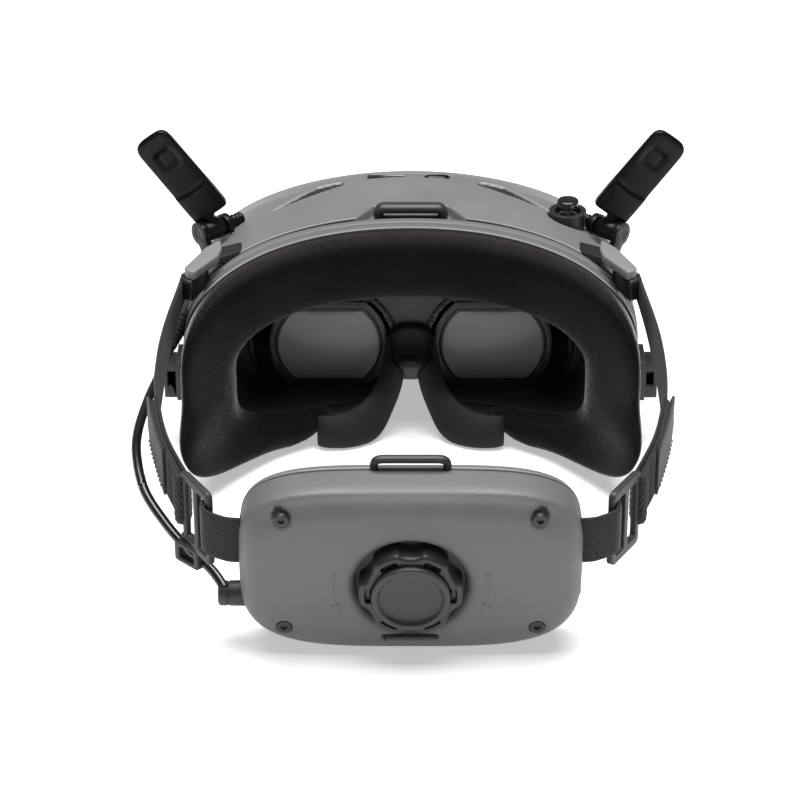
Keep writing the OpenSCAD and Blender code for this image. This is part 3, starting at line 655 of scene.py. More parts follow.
hub = np.hypot(np.abs(X) - HINGE_X, Y - HINGE_Y) - 6.6
depth = np.maximum(depth, np.where(above, 2.2 * smoothstep(1.6, -2.6, hub), 0))
edge_rows = np.linspace(0, 1, X.shape[0])[:, None] * np.ones(X.shape)
rim = smoothstep(0.012, 0.0, edge_rows) * 0.5 + smoothstep(0.991, 1.0, edge_rows) * 0.35
below = Z < -12
knob = np.hypot(np.maximum(np.abs(np.abs(X) - 31) - 3, 0), Y - 17) - 7.4
depth = depth + np.where(below, 1.9 * smoothstep(0.35, -0.35, knob), 0)
housing = sink(top, depth + rim)
rows, cols = X.shape
# the underside is cut away for the nose, its edges drawn in to the notch's narrowing outline
notch = np.interp(Y, [p[0] for p in NOSE_WIDTH], [p[1] for p in NOSE_WIDTH])
reach = np.abs(X)
drawn = np.where(reach <= 8, reach * notch / 8, notch + (reach - 8) * (15 - notch) / 7)
fade = smoothstep(34, 30, Y)
housing[..., 0] = np.where(below & (reach < 15), np.sign(X) * (drawn * fade + reach * (1 - fade)),
                           housing[..., 0])
cut_open = below & (reach < 8.02) & (Y < 29.8)
skin_faces = [f for f in grid_faces(rows, cols, close_cols=True)
              if not all(cut_open[i // cols, i % cols] for i in f)]
piece("housing_shell", housing.reshape(-1, 3), skin_faces, "goggles",
             "shell_plastic", SHELL, replaces=("main_housing",), thick=1.6)
stations = np.concatenate([[-1.0], np.linspace(0.5, 29.6, 34)])
piece("nose_cavity", np.array([nose_section(y, -0.02) for y in stations]).reshape(-1, 3),
      grid_faces(len(stations), 34), "goggles", "dark_plastic", DARK, thick=1.0, sharp=60)

# front cover: wraps round the front edge, with a sunk visor line and a row of air slots underneath
front_angles = angles_even(40.0, lambda x, z: np.where((z < -8) & (np.abs(x) < 48), 0.5, 1.0))
rings = []
ys = [43.15, 43.6, 44.3, 45.2, 46.2, 47.2, 48.2, 49.1, 49.9, 50.6, 51.15, 51.55, 51.85, 52.0]
for y in ys:
    x, z = body_at(front_angles, np.full(front_angles.shape, y))
    rings.append(np.stack([x, np.full(x.shape, y), z], 1))
lead_in = rings[0].copy()
lead_in[:, [0, 2]] = (lead_in[:, [0, 2]] - [0, 12]) * 0.992 + [0, 12]
rings.insert(0, lead_in + [0, -0.1, 0])
last = rings[-1]
for k in range(1, 90):
    f = 1 - k / 90
    r = last.copy()
    r[:, 0] *= f
    r[:, 2] = 12 + (r[:, 2] - 12) * f
    r[:, 1] = 52.0 - 0.6 * float(smoothstep(0.016, 0.006, abs(f - 0.7)))
    rings.append(r)
cover = np.array(rings)
cx, cz = cover[..., 0], cover[..., 2]
slots = np.zeros(cx.shape)
for k in range(13):
    slots = np.maximum(slots, smoothstep(0.3, -0.4, round_box(cx + 36 - 6 * k, cz + 12.6, 1.5, 3.2, 1.4)))
front_side = smoothstep(47, 50, cover[..., 1])
cover[..., 1] -= front_side * 1.6 * slots
verts, faces = lofted(list(cover), caps=False)
tip = len(verts)
verts.append((0, 52.0, 12))
m = cover.shape[1]
faces += [((len(rings) - 1) * m + j, (len(rings) - 1) * m + (j + 1) % m, tip) for j in range(m)]
piece("visor_shell", verts, faces, "goggles", "cover_plastic", VISOR, replaces=("front_cover",), thick=1.6)


# ------------------------------------------------------------------ face side

def polar(fn, centre_z, angles_out):
    """Radius of a closed outline about (0, centre_z) at each direction."""
    a = np.linspace(0, TAU, 2001)
    x, z = fn(a)
    phi = np.unwrap(np.arctan2(z - centre_z, x))
    order = np.argsort(phi)
    return np.interp(angles_out, phi[order], np.hypot(x, z - centre_z)[order], period=TAU)


def face_outer(phi, r, low=-26.15, w=76.5, top_z=50.0):
    """Outer edge of the face side on the head cylinder of radius r."""
    y = np.zeros(phi.shape)
    for _ in range(8):
        n_up = np.interp(y, [-75, -36, -14, 4, 12], [3.6, 3.6, 3.2, 2.7, 2.5])
        rad = np.zeros(phi.shape)
        levels = np.unique(np.round(n_up, 2))
        table = np.array([polar(lambda a: outline(a, w, top_z, low, 12, v, 3.4), 6.0, phi) for v in levels])
        for k in range(len(phi)):
            rad[k] = np.interp(n_up[k], levels, table[:, k])
        y = cylinder_y(rad * np.cos(phi), r)
    return rad


def face_inner(phi, grow=0.0):
    return polar(lambda a: outline(a, 60 + grow, 28 + grow, -16 - grow, EYE_Z, 3.5, 5), EYE_Z, phi)


def on_head(phi, rad, r):
    x, z = rad * np.cos(phi), EYE_Z + rad * np.sin(phi)
    return np.stack([x, cylinder_y(x, r), z], -1)


# bezel: a hard ring between housing and foam
phi = np.linspace(0, TAU, 361)[:-1]
outer = face_outer(phi, 104.0, low=-20.4, w=76.9, top_z=50.4)
inner = face_inner(phi, 2.0)
section = [(1.0, 107.75), (1.0, 100.6), (0.985, 100.15), (0.94, 100.05), (0.06, 100.05), (0.0, 100.6),
           (0.0, 108.0)]
bezel_rows = []
for u, r in section:
    bezel_rows.append(on_head(phi, inner + (outer - inner) * u, r))
bezel = np.array(bezel_rows)
groove_rows = np.array([on_head(phi, outer, r) for r in (107.75, 107.3, 104.9, 104.5, 104.1, 103.7, 101.2)])
step = np.array([0.35, 0.0, 0.0, 0.28, 0.28, 0.0, 0.0])
for k in range(len(groove_rows)):
    groove_rows[k] = on_head(phi, outer - step[k], (107.75, 107.3, 104.9, 104.5, 104.1, 103.7, 101.2)[k])
stack = np.concatenate([groove_rows, bezel[1:]])
bezel_ob = piece("face_bezel", stack.reshape(-1, 3), grid_faces(len(stack), len(phi), True, True),
                 "goggles",
                 "shell_plastic", BEZEL, replaces=("rear_bezel",))
carve(bezel_ob, [nose_cutter()])
smooth(bezel_ob, 40)
# painted shade: the sides of the bezel are darkened below its brow, down to 0.12 of its colour
b_nodes, b_links = BEZEL.node_tree.nodes, BEZEL.node_tree.links
b_main = b_nodes["Principled BSDF"]
height = node(b_nodes, "ShaderNodeSeparateXYZ")
b_links.new(node(b_nodes, "ShaderNodeTexCoord").outputs["Object"], height.inputs[0])
shade_by_height = node(b_nodes, "ShaderNodeMapRange", interpolation_type="SMOOTHSTEP")
for key, value in (("From Min", 0.055), ("From Max", 0.071), ("To Min", 0.12), ("To Max", 1.0)):
    shade_by_height.inputs[key].default_value = value
b_links.new(height.outputs["Z"], shade_by_height.inputs["Value"])
side_shade = node(b_nodes, "ShaderNodeMix", data_type="RGBA", blend_type="MULTIPLY")
side_shade.inputs[0].default_value = 1.0
b_links.new(b_main.inputs["Base Color"].links[0].from_socket, side_shade.inputs[6])
b_links.new(shade_by_height.outputs["Result"], side_shade.inputs[7])
b_links.new(side_shade.outputs[2], b_main.inputs["Base Color"])

# foam pad: an open ring, crowned, with its ends beside the nose
phi0, phi1 = math.radians(-39.5), math.radians(180 + 39.5)
pad_phi = np.linspace(phi0, phi1, 260)
pad_outer = face_outer(pad_phi, 94.0)
pad_inner = face_inner(pad_phi)
ring = []
COUNT = 44
for k in range(COUNT):
    t = TAU * k / COUNT
    u = 0.5 + 0.5 * power(np.cos(t), 0.62)
    d = 0.5 + 0.5 * power(np.sin(t), 0.72 if math.sin(t) > 0 else 0.3)
    ring.append((float(u), float(d)))
end = np.minimum(pad_phi - phi0, phi1 - pad_phi)
taper = np.sqrt(np.clip(end / math.radians(4.0), 0.0, 1))
taper = np.clip(taper, 0.08, 1)
pad = np.zeros((len(pad_phi), COUNT, 3))
edge_x = np.abs(pad_outer * np.cos(pad_phi))
cheek = np.exp(-((edge_x - 66) / 12) ** 2) * (np.sin(pad_phi) < -0.05)
cheek = np.convolve(np.pad(cheek, 6, mode="edge"), np.hanning(15)[1:-1] / np.hanning(15).sum(),
                    mode="valid")
for k, (u, d) in enumerate(ring):
    mid = (pad_inner + pad_outer) / 2
    half = (pad_outer - pad_inner) / 2
    swell = 0.35 * math.sin(math.pi * min(max(d, 0), 1))
    rad = mid + (2 * u - 1) * (half + swell) * (0.55 + 0.45 * taper)
    r = 99.9 - d * (12.0 - 2.2 * (1 - taper) + 7.0 * cheek * smoothstep(0.1, 0.75, u))
    pad[:, k] = on_head(pad_phi, rad + cheek * 5.0 * u * d, r)
ripple = np.array([[noise.noise(Vector(p) * 0.055) for p in row] for row in pad])
pad[..., 1] += ripple * 0.35
pad[..., 2] = np.maximum(pad[..., 2], -25.5)
foam = piece("face_pad", *lofted(list(pad), caps=True), "goggles", "foam_skin", FOAM,
             replaces=("face_foam",))

# eye surround: a funnel from the bezel's opening to the plate round the lenses
well = np.array([on_head(phi, face_inner(phi, g), r) for g,
                 r in ((1.9, 100.6), (1.6, 101.4), (1.6, 104.6), (1.6, 107.9),
                                                                  (1.7, 110.0), (1.8, 112.5), (1.9, 118.0),
                       (2.0, 126.0))])
well[..., 1] = np.minimum(well[..., 1], np.linspace(6.4, 7.1, len(well))[:, None])
well_ob = piece("eye_well", well.reshape(-1, 3), grid_faces(len(well), len(phi), close_cols=True),
                "goggles",
                "dark_plastic", DARK, thick=0.9)
carve(well_ob, [nose_cutter()])
smooth(well_ob, 40)


SIDES = (("left", 1), ("right", -1))  # left-hand pieces are modelled at -X; right-hand ones are mirrored


def lens_shape(grow):
    """Lens outline: a circle with flats above and below."""
    a = np.linspace(0, TAU, 160, endpoint=False)
    r = LENS_R + grow
    x, z = r * np.cos(a), r * np.sin(a)
    f = LENS_FLAT + grow
    over = np.abs(z) > f
    x = np.where(over, np.sqrt(r ** 2 - f * f) * np.cos(a) / np.abs(np.cos(np.arcsin(min(1, f / r)))), x)
    return np.stack([x, np.clip(z, -f, f)], 1)


def lens_loop(cx, grow, y):
    q = lens_shape(grow)
    return np.stack([cx + q[:, 0], np.full(len(q), y), q[:, 1] - LENS_DROP], 1)


def lens_distance(x, z):
    """Distance outside a lens outline about the origin."""
    corner = math.sqrt(LENS_R * LENS_R - LENS_FLAT * LENS_FLAT)
    d_round = np.hypot(x, z) - LENS_R
    d_flat = np.abs(z) - LENS_FLAT
    d = np.maximum(d_round, d_flat)
    outside_corner = (np.abs(z) > LENS_FLAT) & (d_round > 0)
    d_corner = np.hypot(np.abs(x) - corner, np.abs(z) - LENS_FLAT)
    return np.where(outside_corner, np.maximum(d, np.minimum(d_corner, np.hypot(d_round, d_flat))), d)


# eye plate: a formed sheet between the lenses and the well, with holes that let each barrel travel
gx = np.arange(-63, 63.01, 0.6)
gz = np.arange(-24, 36.01, 0.6)
PX, PZ = np.meshgrid(gx, gz, indexing="ij")
d_lens = lens_distance(np.abs(PX) - LENS_X - np.clip(np.abs(PX) - LENS_X, -1.4, 5.3),
                       PZ - np.clip(PZ, -LENS_DROP, 0))
middle = np.exp(-(PX / 9.5) ** 2)
PY = 6.8 - 1.2 * smoothstep(4.4, 3.4, d_lens) * smoothstep(30, 24, PZ)
PY -= middle * 2.8 * smoothstep(-6, 16, PZ)
PY -= 2.4 * smoothstep(17, 27, PZ)
rim_r = polar(lambda a: outline(a, 61.4, 29.4, -17.4, 6, 3.5, 5), 6.0, np.arctan2(PZ - 6, PX).ravel())
out_by = np.hypot(PX, PZ - 6) / rim_r.reshape(PX.shape)
pull = np.where(out_by > 1, 1 / out_by, 1.0)
# points close to a barrel's hole are drawn onto its edge
hole = d_lens - 2.9
slope_x, slope_z = np.gradient(hole, 0.6)
steep = np.hypot(slope_x, slope_z) + 1e-9
near = np.abs(hole) < 0.45
QX = np.where(near, PX - hole * slope_x / steep ** 2, PX) * pull
QZ = 6 + (np.where(near, PZ - hole * slope_z / steep ** 2, PZ) - 6) * pull
keep = (out_by < 1.012) & (hole > -0.45)
plate_pts = np.stack([QX, PY, QZ], 2)
rows, cols = PX.shape
plate_faces = [f for f in grid_faces(rows, cols) if all(keep[i // cols, i % cols] for i in f)]
used = sorted({v for f in plate_faces for v in f})
at = {v: k for k, v in enumerate(used)}
plate = piece("eye_plate_skin", plate_pts.reshape(-1, 3)[used],
              [tuple(at[v] for v in f) for f in plate_faces], "goggles",
              "dark_plastic", DARK, replaces=("eye_plate",), thick=1.2)
carve(plate, [nose_cutter()])
smooth(plate, 40)

for side, s in SIDES:
    # eyecup collar round the barrel's mouth: face, rounded lip, wall down past the plate
    section = [(0.35, 8.6), (0.35, 4.7), (0.45, 4.3), (0.75, 4.05), (1.4, 3.95), (2.0, 4.0), (2.4, 4.25),
               (2.58, 4.7), (2.62, 5.7), (2.62, 10.5), (1.9, 10.5), (1.9, 8.6)]
    collar = np.array([lens_loop(-LENS_X * s, g, y) for g, y in section])
    piece("eyecup_" + side, collar.reshape(-1, 3),
          grid_faces(len(section), 160, True, True), "eyepiece_" + side, "dark_plastic", DARK, sharp=50)
    # lens: chamfered edge, gently domed face
    rings = []
    for g, y in ((-0.35, 13.6), (0.0, 13.2), (0.0, 6.2), (-0.1, 5.9), (-0.95, 5.0)):
        rings.append(lens_loop(-LENS_X * s, g, y))
    base = lens_shape(-0.95)
    for k in range(1, 15):
        f = 1 - k / 15
        q = base * f
        rr = np.hypot(q[:, 0], q[:, 1])
        y = 4.55 + 0.45 * (rr / 17.75) ** 2
        rings.append(np.stack([-LENS_X * s + q[:, 0], y, q[:, 1] - LENS_DROP], 1))
    piece("lens_glass_" + side, *lofted(rings, caps=True), "lens_" + side, "lens_glass", GLASS,
          replaces=("lens_" + side,), sharp=25)

# ------------------------------------------------------------------ nose

# bridge pad: a faceted dome that fills the arch between the lenses
rings = []
for y, half_w, high, foot, e in ((8.0, 8.5, 8.7, -9.0, 2.3), (4.0, 8.45, 8.65, -9.0, 2.3),
                                 (1.2, 8.4, 8.5, -9.0, 2.4),
                                 (0.5, 8.3, 8.1, -8.9, 2.4), (0.0, 8.15, 7.2, -8.8, 2.5),
                                 (-0.8, 8.0, 5.8, -8.7, 2.6),
                                 (-2.0, 7.8, 4.1, -8.6, 2.8), (-3.4, 7.5, 2.7, -8.4, 3.0),
                                 (-5.0, 7.0, 1.5, -8.2, 3.2),
                                 (-6.6, 6.3, 0.7, -8.0, 3.2), (-8.0, 5.5, 0.1, -7.6, 3.2),
                                 (-9.1, 4.7, -0.5, -7.2, 3.0),
                                 (-9.8, 3.8, -1.2, -6.6, 2.8), (-10.1, 2.4, -2.4, -5.6, 2.4)):
    a = np.linspace(0, TAU, 96, endpoint=False)
    x, z = outline(a, half_w, high, foot, (high + foot) / 2, e, e)
    rings.append(np.stack([x, np.full(x.shape, y), z], 1))
piece("nose_pad", *lofted(rings), "goggles", "soft_rubber", DIAL, replaces=("nose_bridge",))

FLAP_UPPER = [(-32.4, -21.5, -14.8), (-26.5, -19.8, -15.2), (-20.6, -16.6, -14.8), (-15.7, -12.4, -12.8),
              (-12.2, -8.4, -9.4), (-10.4, -4.8, -5.0), (-8.9, -2.0, 1.2), (-8.2, -0.2, 5.6)]
FLAP_LOWER = [(-32.4, -24.8, -24.9), (-29.0, -26.0, -25.2), (-21.3, -25.6, -25.3), (-14.0, -21.8, -25.2),
              (-9.4, -17.8, -22.4), (-5.9, -15.2, -15.0), (-3.6, -13.4, -8.3), (-2.9, -11.2, -3.6),
              (-5.2, -7.0, -2.2),
              (-7.6, -2.6, 1.4)]
for side, s in SIDES:
    up, _ = even(spline(FLAP_UPPER, 8), 0.9)
    low = spline(FLAP_LOWER, 8)
    t_up = np.linspace(0, 1, 64)
    A, B = along_path(up, t_up), along_path(low, t_up)
    layers = []
    for k in range(64):
        one_end, other_end = A[k], B[k]
        span = other_end - one_end
        spread = np.linalg.norm(span) + 1e-9
        tangent = (A[min(k + 1, 63)] - A[max(k - 1, 0)] + B[min(k + 1, 63)] - B[max(k - 1, 0)])
        outward = np.cross(span, tangent)
        outward /= np.linalg.norm(outward) + 1e-9
        if outward[1] > 0:
            outward = -outward
        skin_loop = []
        for j in range(28):
            t = TAU * j / 28
            u = 0.5 - 0.5 * power(np.cos(t), 0.5)
            h = power(np.sin(t), 0.35)
            bulge = 4 * u * (1 - u) * min(spread * 0.1, 1.1)
            end_fade = min(1.0, 0.25 + 3.0 * min(k / 63 * 6, 1.0)) * min(1, (63 - k) / 6 + 0.25)
            skin_loop.append(one_end + span * u + outward * (bulge + 0.95 * h * end_fade))
        layers.append(skin_loop)
    layers = np.array(layers)
    layers[..., 0] *= s
    layers[..., 2] = np.maximum(layers[..., 2], -25.4)
    piece("nose_flap_" + side + "_skin", *lofted(list(layers)), "goggles", "soft_rubber", RUBBER,
          replaces=("nose_flap_" + side,))
    # web from the flap's upper edge back to the bezel's mouth
    web_near = A[2:50] + np.array([0.0, 0.7, -0.9])
    web_far = np.stack([web_near[:, 0] - 1.0, cylinder_y(web_near[:, 0], 101.0), np.full(48, -17.5)], 1)
    web = np.array([web_near + (web_far - web_near) * smoothstep(0, 1, f) * [0, 0, 1]
                    + (web_far - web_near) * f * [1, 1, 0]
                    for f in np.linspace(0, 1, 9)])
    web[..., 0] *= s
    piece("flap_web_" + side, web.reshape(-1, 3), grid_faces(9, 48), "goggles", "soft_rubber", DARK,
          thick=0.7)

# ------------------------------------------------------------------ carried-over CAD pieces

CAD_FINISH = {
    "optics_bracket": DARK, "guide_rails": STEEL, "mainboard": BOARD, "fan_housing": BLACK,
              "fan_rotor": DARK,
    "usb_port": BLACK, "card_slot": BLACK, "hinge_pins": AERIAL, "nav_base": BLACK,
    "nav_gimbal": STEEL, "nav_stem": STEEL, "nav_cap": GLOSS, "back_button": BLACK, "record_button": RED,
    "eyepiece_left": BLACK, "eyepiece_right": BLACK, "display_left": GLOSS, "display_right": GLOSS,
    "focus_knob_left": DARK, "focus_knob_right": DARK, "side_bracket_left": BLACK,
              "side_bracket_right": BLACK,
    "hinge_yoke_left": AERIAL, "hinge_yoke_right": AERIAL, "pack_screws": BLACK, "battery_cells": WRAP,
    "rack_left": LIGHT, "rack_right": LIGHT, "power_button": LIGHT}
FINE_ROUNDING = {"side_bracket_left": 0.45, "side_bracket_right": 0.45, "hinge_yoke_left": 0.4,
                 "hinge_yoke_right": 0.4, "nav_cap": 0.5, "nav_base": 0.4, "back_button": 0.4,
                 "record_button": 0.4,
                 "focus_knob_left": 0.4, "focus_knob_right": 0.4, "eyepiece_left": 0.4,
                 "eyepiece_right": 0.4,
                 "pack_screws": 0.2, "power_button": 0.4, "usb_port": 0.15, "card_slot": 0.15}
for name, finish in CAD_FINISH.items():
    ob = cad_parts[name]
    if not ob.data.materials:
        ob.data.materials.append(finish)
    for k in range(len(ob.data.materials)):
        ob.data.materials[k] = finish
    ob.data.polygons.foreach_set("use_smooth", [True] * len(ob.data.polygons))
    weld = ob.modifiers.new("Weld", "WELD")
    weld.merge_threshold = 0.000002
    flat_mod = ob.modifiers.new("Flat", "DECIMATE")
    flat_mod.decimate_type = "DISSOLVE"
    flat_mod.angle_limit = math.radians(1.5)
    if name in FINE_ROUNDING:
        w = ob.modifiers.new("Rounding", "BEVEL")
        w.width = FINE_ROUNDING[name] * MM
        w.segments = 2
        w.limit_method = "ANGLE"
        w.angle_limit = math.radians(32)
        w.harden_normals = False
    e = ob.modifiers.new("Crease", "EDGE_SPLIT")
    e.split_angle = math.radians(38)

# ------------------------------------------------------------------ top details

def tube_loop(path, r, sides=14, closed=True):
    """Round bar along a closed or open path."""
    p = np.asarray(path, float)
    n = len(p)
    layers = []
    for k in range(n):
        one_end = p[(k + 1) % n] if closed or k < n - 1 else p[k]
        other_end = p[k - 1] if closed or k > 0 else p[k]
        t = (one_end - other_end) / (np.linalg.norm(one_end - other_end) + 1e-9)
        ref = np.array([0, 1.0, 0]) if abs(t[1]) < 0.9 else np.array([1.0, 0, 0])
        u = np.cross(t, ref)
        u /= np.linalg.norm(u)
        v = np.cross(u, t)
        rad = r[k] if hasattr(r, "__len__") else r
        layers.append([p[k] + rad * (math.cos(TAU * j / sides) * u + math.sin(TAU * j / sides) * v)
                      for j in range(sides)])
    return np.array(layers)


# strap loop on the crown
loop_path = [(x, 5.4, z + 50.0) for x, z in rounded(11.1, 2.5, 1.9, 8)]
bar = tube_loop(loop_path, 1.75, 18)
bar[..., 1] = 5.4 + (bar[..., 1] - 5.4) * 1.5
piece("crown_loop", bar.reshape(-1, 3), grid_faces(len(bar), 18, True, True), "goggles", "dark_plastic",
      DARK,
      replaces=("front_loop",))

# perforated vent plates
def perforated(name, poly, height, pitch, replaces=()):
    """A pierced sheet over a polygon and its mirror twin; height gives a point's place in space."""
    xs = [p[0] for p in poly]
    ys = [p[1] for p in poly]
    verts, faces = [], []
    cells = []
    row = 0
    y = min(ys) - pitch
    while y < max(ys) + pitch:
        x = min(xs) - pitch + (pitch / 2 if row % 2 else 0)
        while x < max(xs) + pitch:
            cells.append((x, y))
            x += pitch
        y += pitch * math.sqrt(3) / 2
        row += 1
    for x0, y0 in cells:
        d = float(polygon_distance(np.array([x0]), np.array([y0]), poly)[0])
        if d > pitch * 0.2:
            continue
        corners = [(x0 + pitch / math.sqrt(3) * math.sin(TAU * k / 6),
                    y0 + pitch / math.sqrt(3) * math.cos(TAU * k / 6))
                for k in range(6)]
        outer_loop = []
        for k in range(6):
            one_end, other_end = corners[k], corners[(k + 1) % 6]
            outer_loop += [one_end, ((one_end[0] + other_end[0]) / 2, (one_end[1] + other_end[1]) / 2)]
        inner_loop = [(x0 + pitch * 0.42 * 0.75 * math.sin(TAU * k / 12),
                       y0 + pitch * 0.42 * 0.75 * math.cos(TAU * k / 12))
                  for k in range(12)]
        base = len(verts)
        verts += [height(*q) for q in outer_loop + inner_loop]
        faces += [(base + k, base + (k + 1) % 12, base + 12 + (k + 1) % 12, base + 12 + k)
                  for k in range(12)]
    n = len(verts)
    verts += [(-v[0], v[1], v[2]) for v in verts]
    faces += [tuple(n + i for i in reversed(f)) for f in faces]
    piece(name, verts, faces, "goggles", "dark_plastic", BLACK, replaces=replaces, thick=0.35)


def crown_z(x, y):
    """Height of the body's top surface."""
    shrink = np.interp(y, BODY_RINGS[:, 0], BODY_RINGS[:, 1])
    n_up = np.interp(y, BODY_RINGS[:, 0], BODY_RINGS[:, 2])
    f = min(abs(x) / (HALF_W - shrink), 1)
    return MID_Z + (CROWN - shrink - MID_Z) * (1 - f ** n_up) ** (1 / n_up)


perforated("vent_mesh", VENT, lambda x, y: (x, y, crown_z(x, y) - 0.75), 1.3,
           replaces=("vent_grilles",))
MESH_PATCH = [(56.2, 3.6), (59.8, 3.4), (60.6, 12.0), (59.8, 18.0), (57.6, 21.0), (56.4, 19.0),
              (56.6, 12.0)]
perforated("side_mesh", MESH_PATCH, lambda x, z: (x, 6.2, z), 1.15)

# ------------------------------------------------------------------ strap arms

for side, s in SIDES:
    base_pts = [(-58.0, -6.4, 45.4), (-66.4, -12.6, 45.9), (-70.6, -19.0, 46.6), (-69.0, -24.4, 46.9),
                (-64.8, -21.4, 46.4),
                (-57.4, -14.0, 45.4)]
    bevelled(piece("strap_arm_" + side + "_base",
                   *prism([(x * s, y, z - 2.6) for x, y, z in base_pts], (0, 0, 2.6)), "goggles",
                   "dark_plastic", BLACK), 0.6)
    loop_pts = [(-65.0, -9.9, 47.7), (-66.4, -11.2, 47.8), (-69.9, -16.9, 48.2), (-75.8, -34.2, 49.4),
                (-74.9, -37.2, 49.6),
                (-72.2, -38.4, 49.6), (-65.0, -23.6, 48.5), (-64.2, -17.0, 48.0)]
    loop_pts = [np.array([x * s, y, z - 3.4]) for x, y, z in loop_pts]
    arm = piece("strap_arm_" + side + "_skin", *prism(loop_pts, (0, 0, 3.4)), "goggles", "light_plastic",
                LIGHT,
                replaces=("strap_arm_" + side,))
    bevelled(arm, 0.7)

for side, s in SIDES:
    end_pts = [(-77.6, -36.6, 0), (-73.2, -39.6, 0), (-69.6, -31.0, 0), (-68.2, -23.0, 0),
               (-71.6, -21.6, 0), (-75.6, -29.0, 0)]
    bevelled(piece("strap_end_" + side, *prism([(x * s, y, 38.6) for x, y, z in end_pts], (0, 0, 7.8)),
                   "goggles", "dark_plastic", BLACK), 0.9)

# ------------------------------------------------------------------ aerials

LEAN = math.radians(36.5)


def at_aerial(q, s):
    """Aerial coordinates (across, forward, along the blade) to lens coordinates, left side at s = 1."""
    x, y, z = q
    x += 3.8
    across = x * math.cos(LEAN) - z * math.sin(LEAN)
    rise = x * math.sin(LEAN) + z * math.cos(LEAN)
    return ((across - HINGE_X) * s, y + HINGE_Y, rise + HINGE_Z)


def super_loop(hx, hz, n, count):
    a = np.linspace(0, TAU, count, endpoint=False)
    return hx * power(np.cos(a), 2 / n), hz * power(np.sin(a), 2 / n)


for side, s in SIDES:
    # stations along the blade: distance, half width, half thickness front, half thickness back
    stations = [(5.0, 3.4, 1.2, 1.2), (5.1, 6.0, 1.8, 1.8), (5.6, 6.6, 2.2, 2.1), (6.7, 6.85, 2.35, 2.2),
                (12.0, 6.9, 2.35, 2.2), (15.0, 6.9, 2.3, 2.15), (16.2, 6.89, 2.25, 2.05),
                (16.9, 6.87, 1.95, 2.0),
                (17.5, 6.85, 1.4, 1.95), (18.8, 6.83, 1.15, 1.9), (24.0, 6.8, 1.3, 1.85),
                (31.0, 6.75, 1.5, 1.8),
                (36.5, 6.7, 1.65, 1.7), (38.4, 6.4, 1.62, 1.62), (39.6, 5.8, 1.45, 1.5),
                (40.4, 4.8, 1.2, 1.2),
                (40.85, 3.6, 0.8, 0.8), (41.0, 1.9, 0.35, 0.35)]
    S = np.array(stations)
    zs = np.concatenate([np.linspace(5.0, 5.7, 5)[:-1], np.linspace(5.7, 15.4, 26)[:-1],
                         np.linspace(15.4, 19, 20)[:-1],
                         np.linspace(19, 37, 50)[:-1], np.linspace(37, 41, 16)])
    hw = np.interp(zs, S[:, 0], S[:, 1])
    hf = np.interp(zs, S[:, 0], S[:, 2])
    hb = np.interp(zs, S[:, 0], S[:, 3])
    layers = []
    for k, z in enumerate(zs):
        front = np.linspace(-1, 1, 49)
        fx = np.sin(front * math.pi / 2 * 0.999)
        pts = []
        for f in fx:
            pts.append((hw[k] * f, -hf[k] * (1 - abs(f) ** 7) ** (1 / 4.0),
                        z - 1.1 * (1 - f * f) * smoothstep(13.5, 18, z)
                        + 1.1 * (1 - f * f) * smoothstep(18, 26, z)))
        for f in fx[::-1][1:-1]:
            pts.append((hw[k] * f, hb[k] * (1 - abs(f) ** 7) ** (1 / 4.0), z))
        layers.append(pts)
    blade = np.array(layers)
    bx, by, bz = blade[..., 0], blade[..., 1], blade[..., 2]
    sq = round_box(bx - 0.9, bz - 30.8, 2.5, 2.5, 0.8)
    dish = 0.45 * smoothstep(2.2, 0.0, sq) + 0.25 * smoothstep(0.25, -0.1, np.abs(sq) - 0.12)
    dish = np.where(by < 0, dish, 0)
    blade[..., 1] = by + dish
    pts = np.array([at_aerial(q, s) for q in blade.reshape(-1, 3)]).reshape(blade.shape)
    piece("antenna_" + side + "_blade", *lofted(list(pts)), "antenna_" + side, "dark_plastic", AERIAL,
          replaces=("antenna_" + side,))
    # root: a lug on the hinge pin, with a neck into the blade
    axis = np.array([-0.766044 * s, -0.642788, 0])
    pivot = np.array([-HINGE_X * s, HINGE_Y, HINGE_Z])
    layers = []
    upward = np.array([0, 0, 1.0])
    side_v = np.cross(axis, upward)
    for spread, ring_r in ((-3.8, 2.9), (-3.75, 3.35), (-3.45, 3.6), (3.45, 3.6), (3.75, 3.35), (3.8, 2.9)):
        layers.append([pivot + axis * spread + ring_r
                       * (math.cos(TAU * j / 40) * side_v + math.sin(TAU * j / 40) * upward)
                      for j in range(40)])
    piece("antenna_" + side + "_lug", *lofted(layers), "antenna_" + side, "dark_plastic", AERIAL, sharp=40)
    neck = []
    for z, half_x, half_y in ((0.5, 2.0, 1.9), (2.0, 2.2, 2.1), (3.8, 2.4, 2.15), (5.6, 3.2, 2.15),
                              (7.0, 3.4, 2.15)):
        lx, lz = super_loop(half_x, half_y, 5, 32)
        neck.append([at_aerial((x - 2.5, y, z), s) for x, y in zip(lx, lz)])
    piece("antenna_" + side + "_neck", *lofted(neck), "antenna_" + side, "dark_plastic", AERIAL, sharp=40)
    # ribbed hinge barrel in the housing's pocket
    layers = []
    barrel_foot = pivot - axis * 6.6 + np.array([0, 0, 0.6])
    for k in range(33):
        spread = k / 32 * 6.0
        ring_r = 2.3 - 0.24 * (0.5 + 0.5 * math.cos(TAU * spread / 1.5)) - (0.8 if k in (0, 32) else 0)
        layers.append([barrel_foot - axis * spread + ring_r
                       * (math.cos(TAU * j / 40) * side_v + math.sin(TAU * j / 40) * upward)
                      for j in range(40)])
    piece("hinge_barrel_" + side, *lofted(layers), "goggles", "dark_plastic", AERIAL)

# ------------------------------------------------------------------ head strap

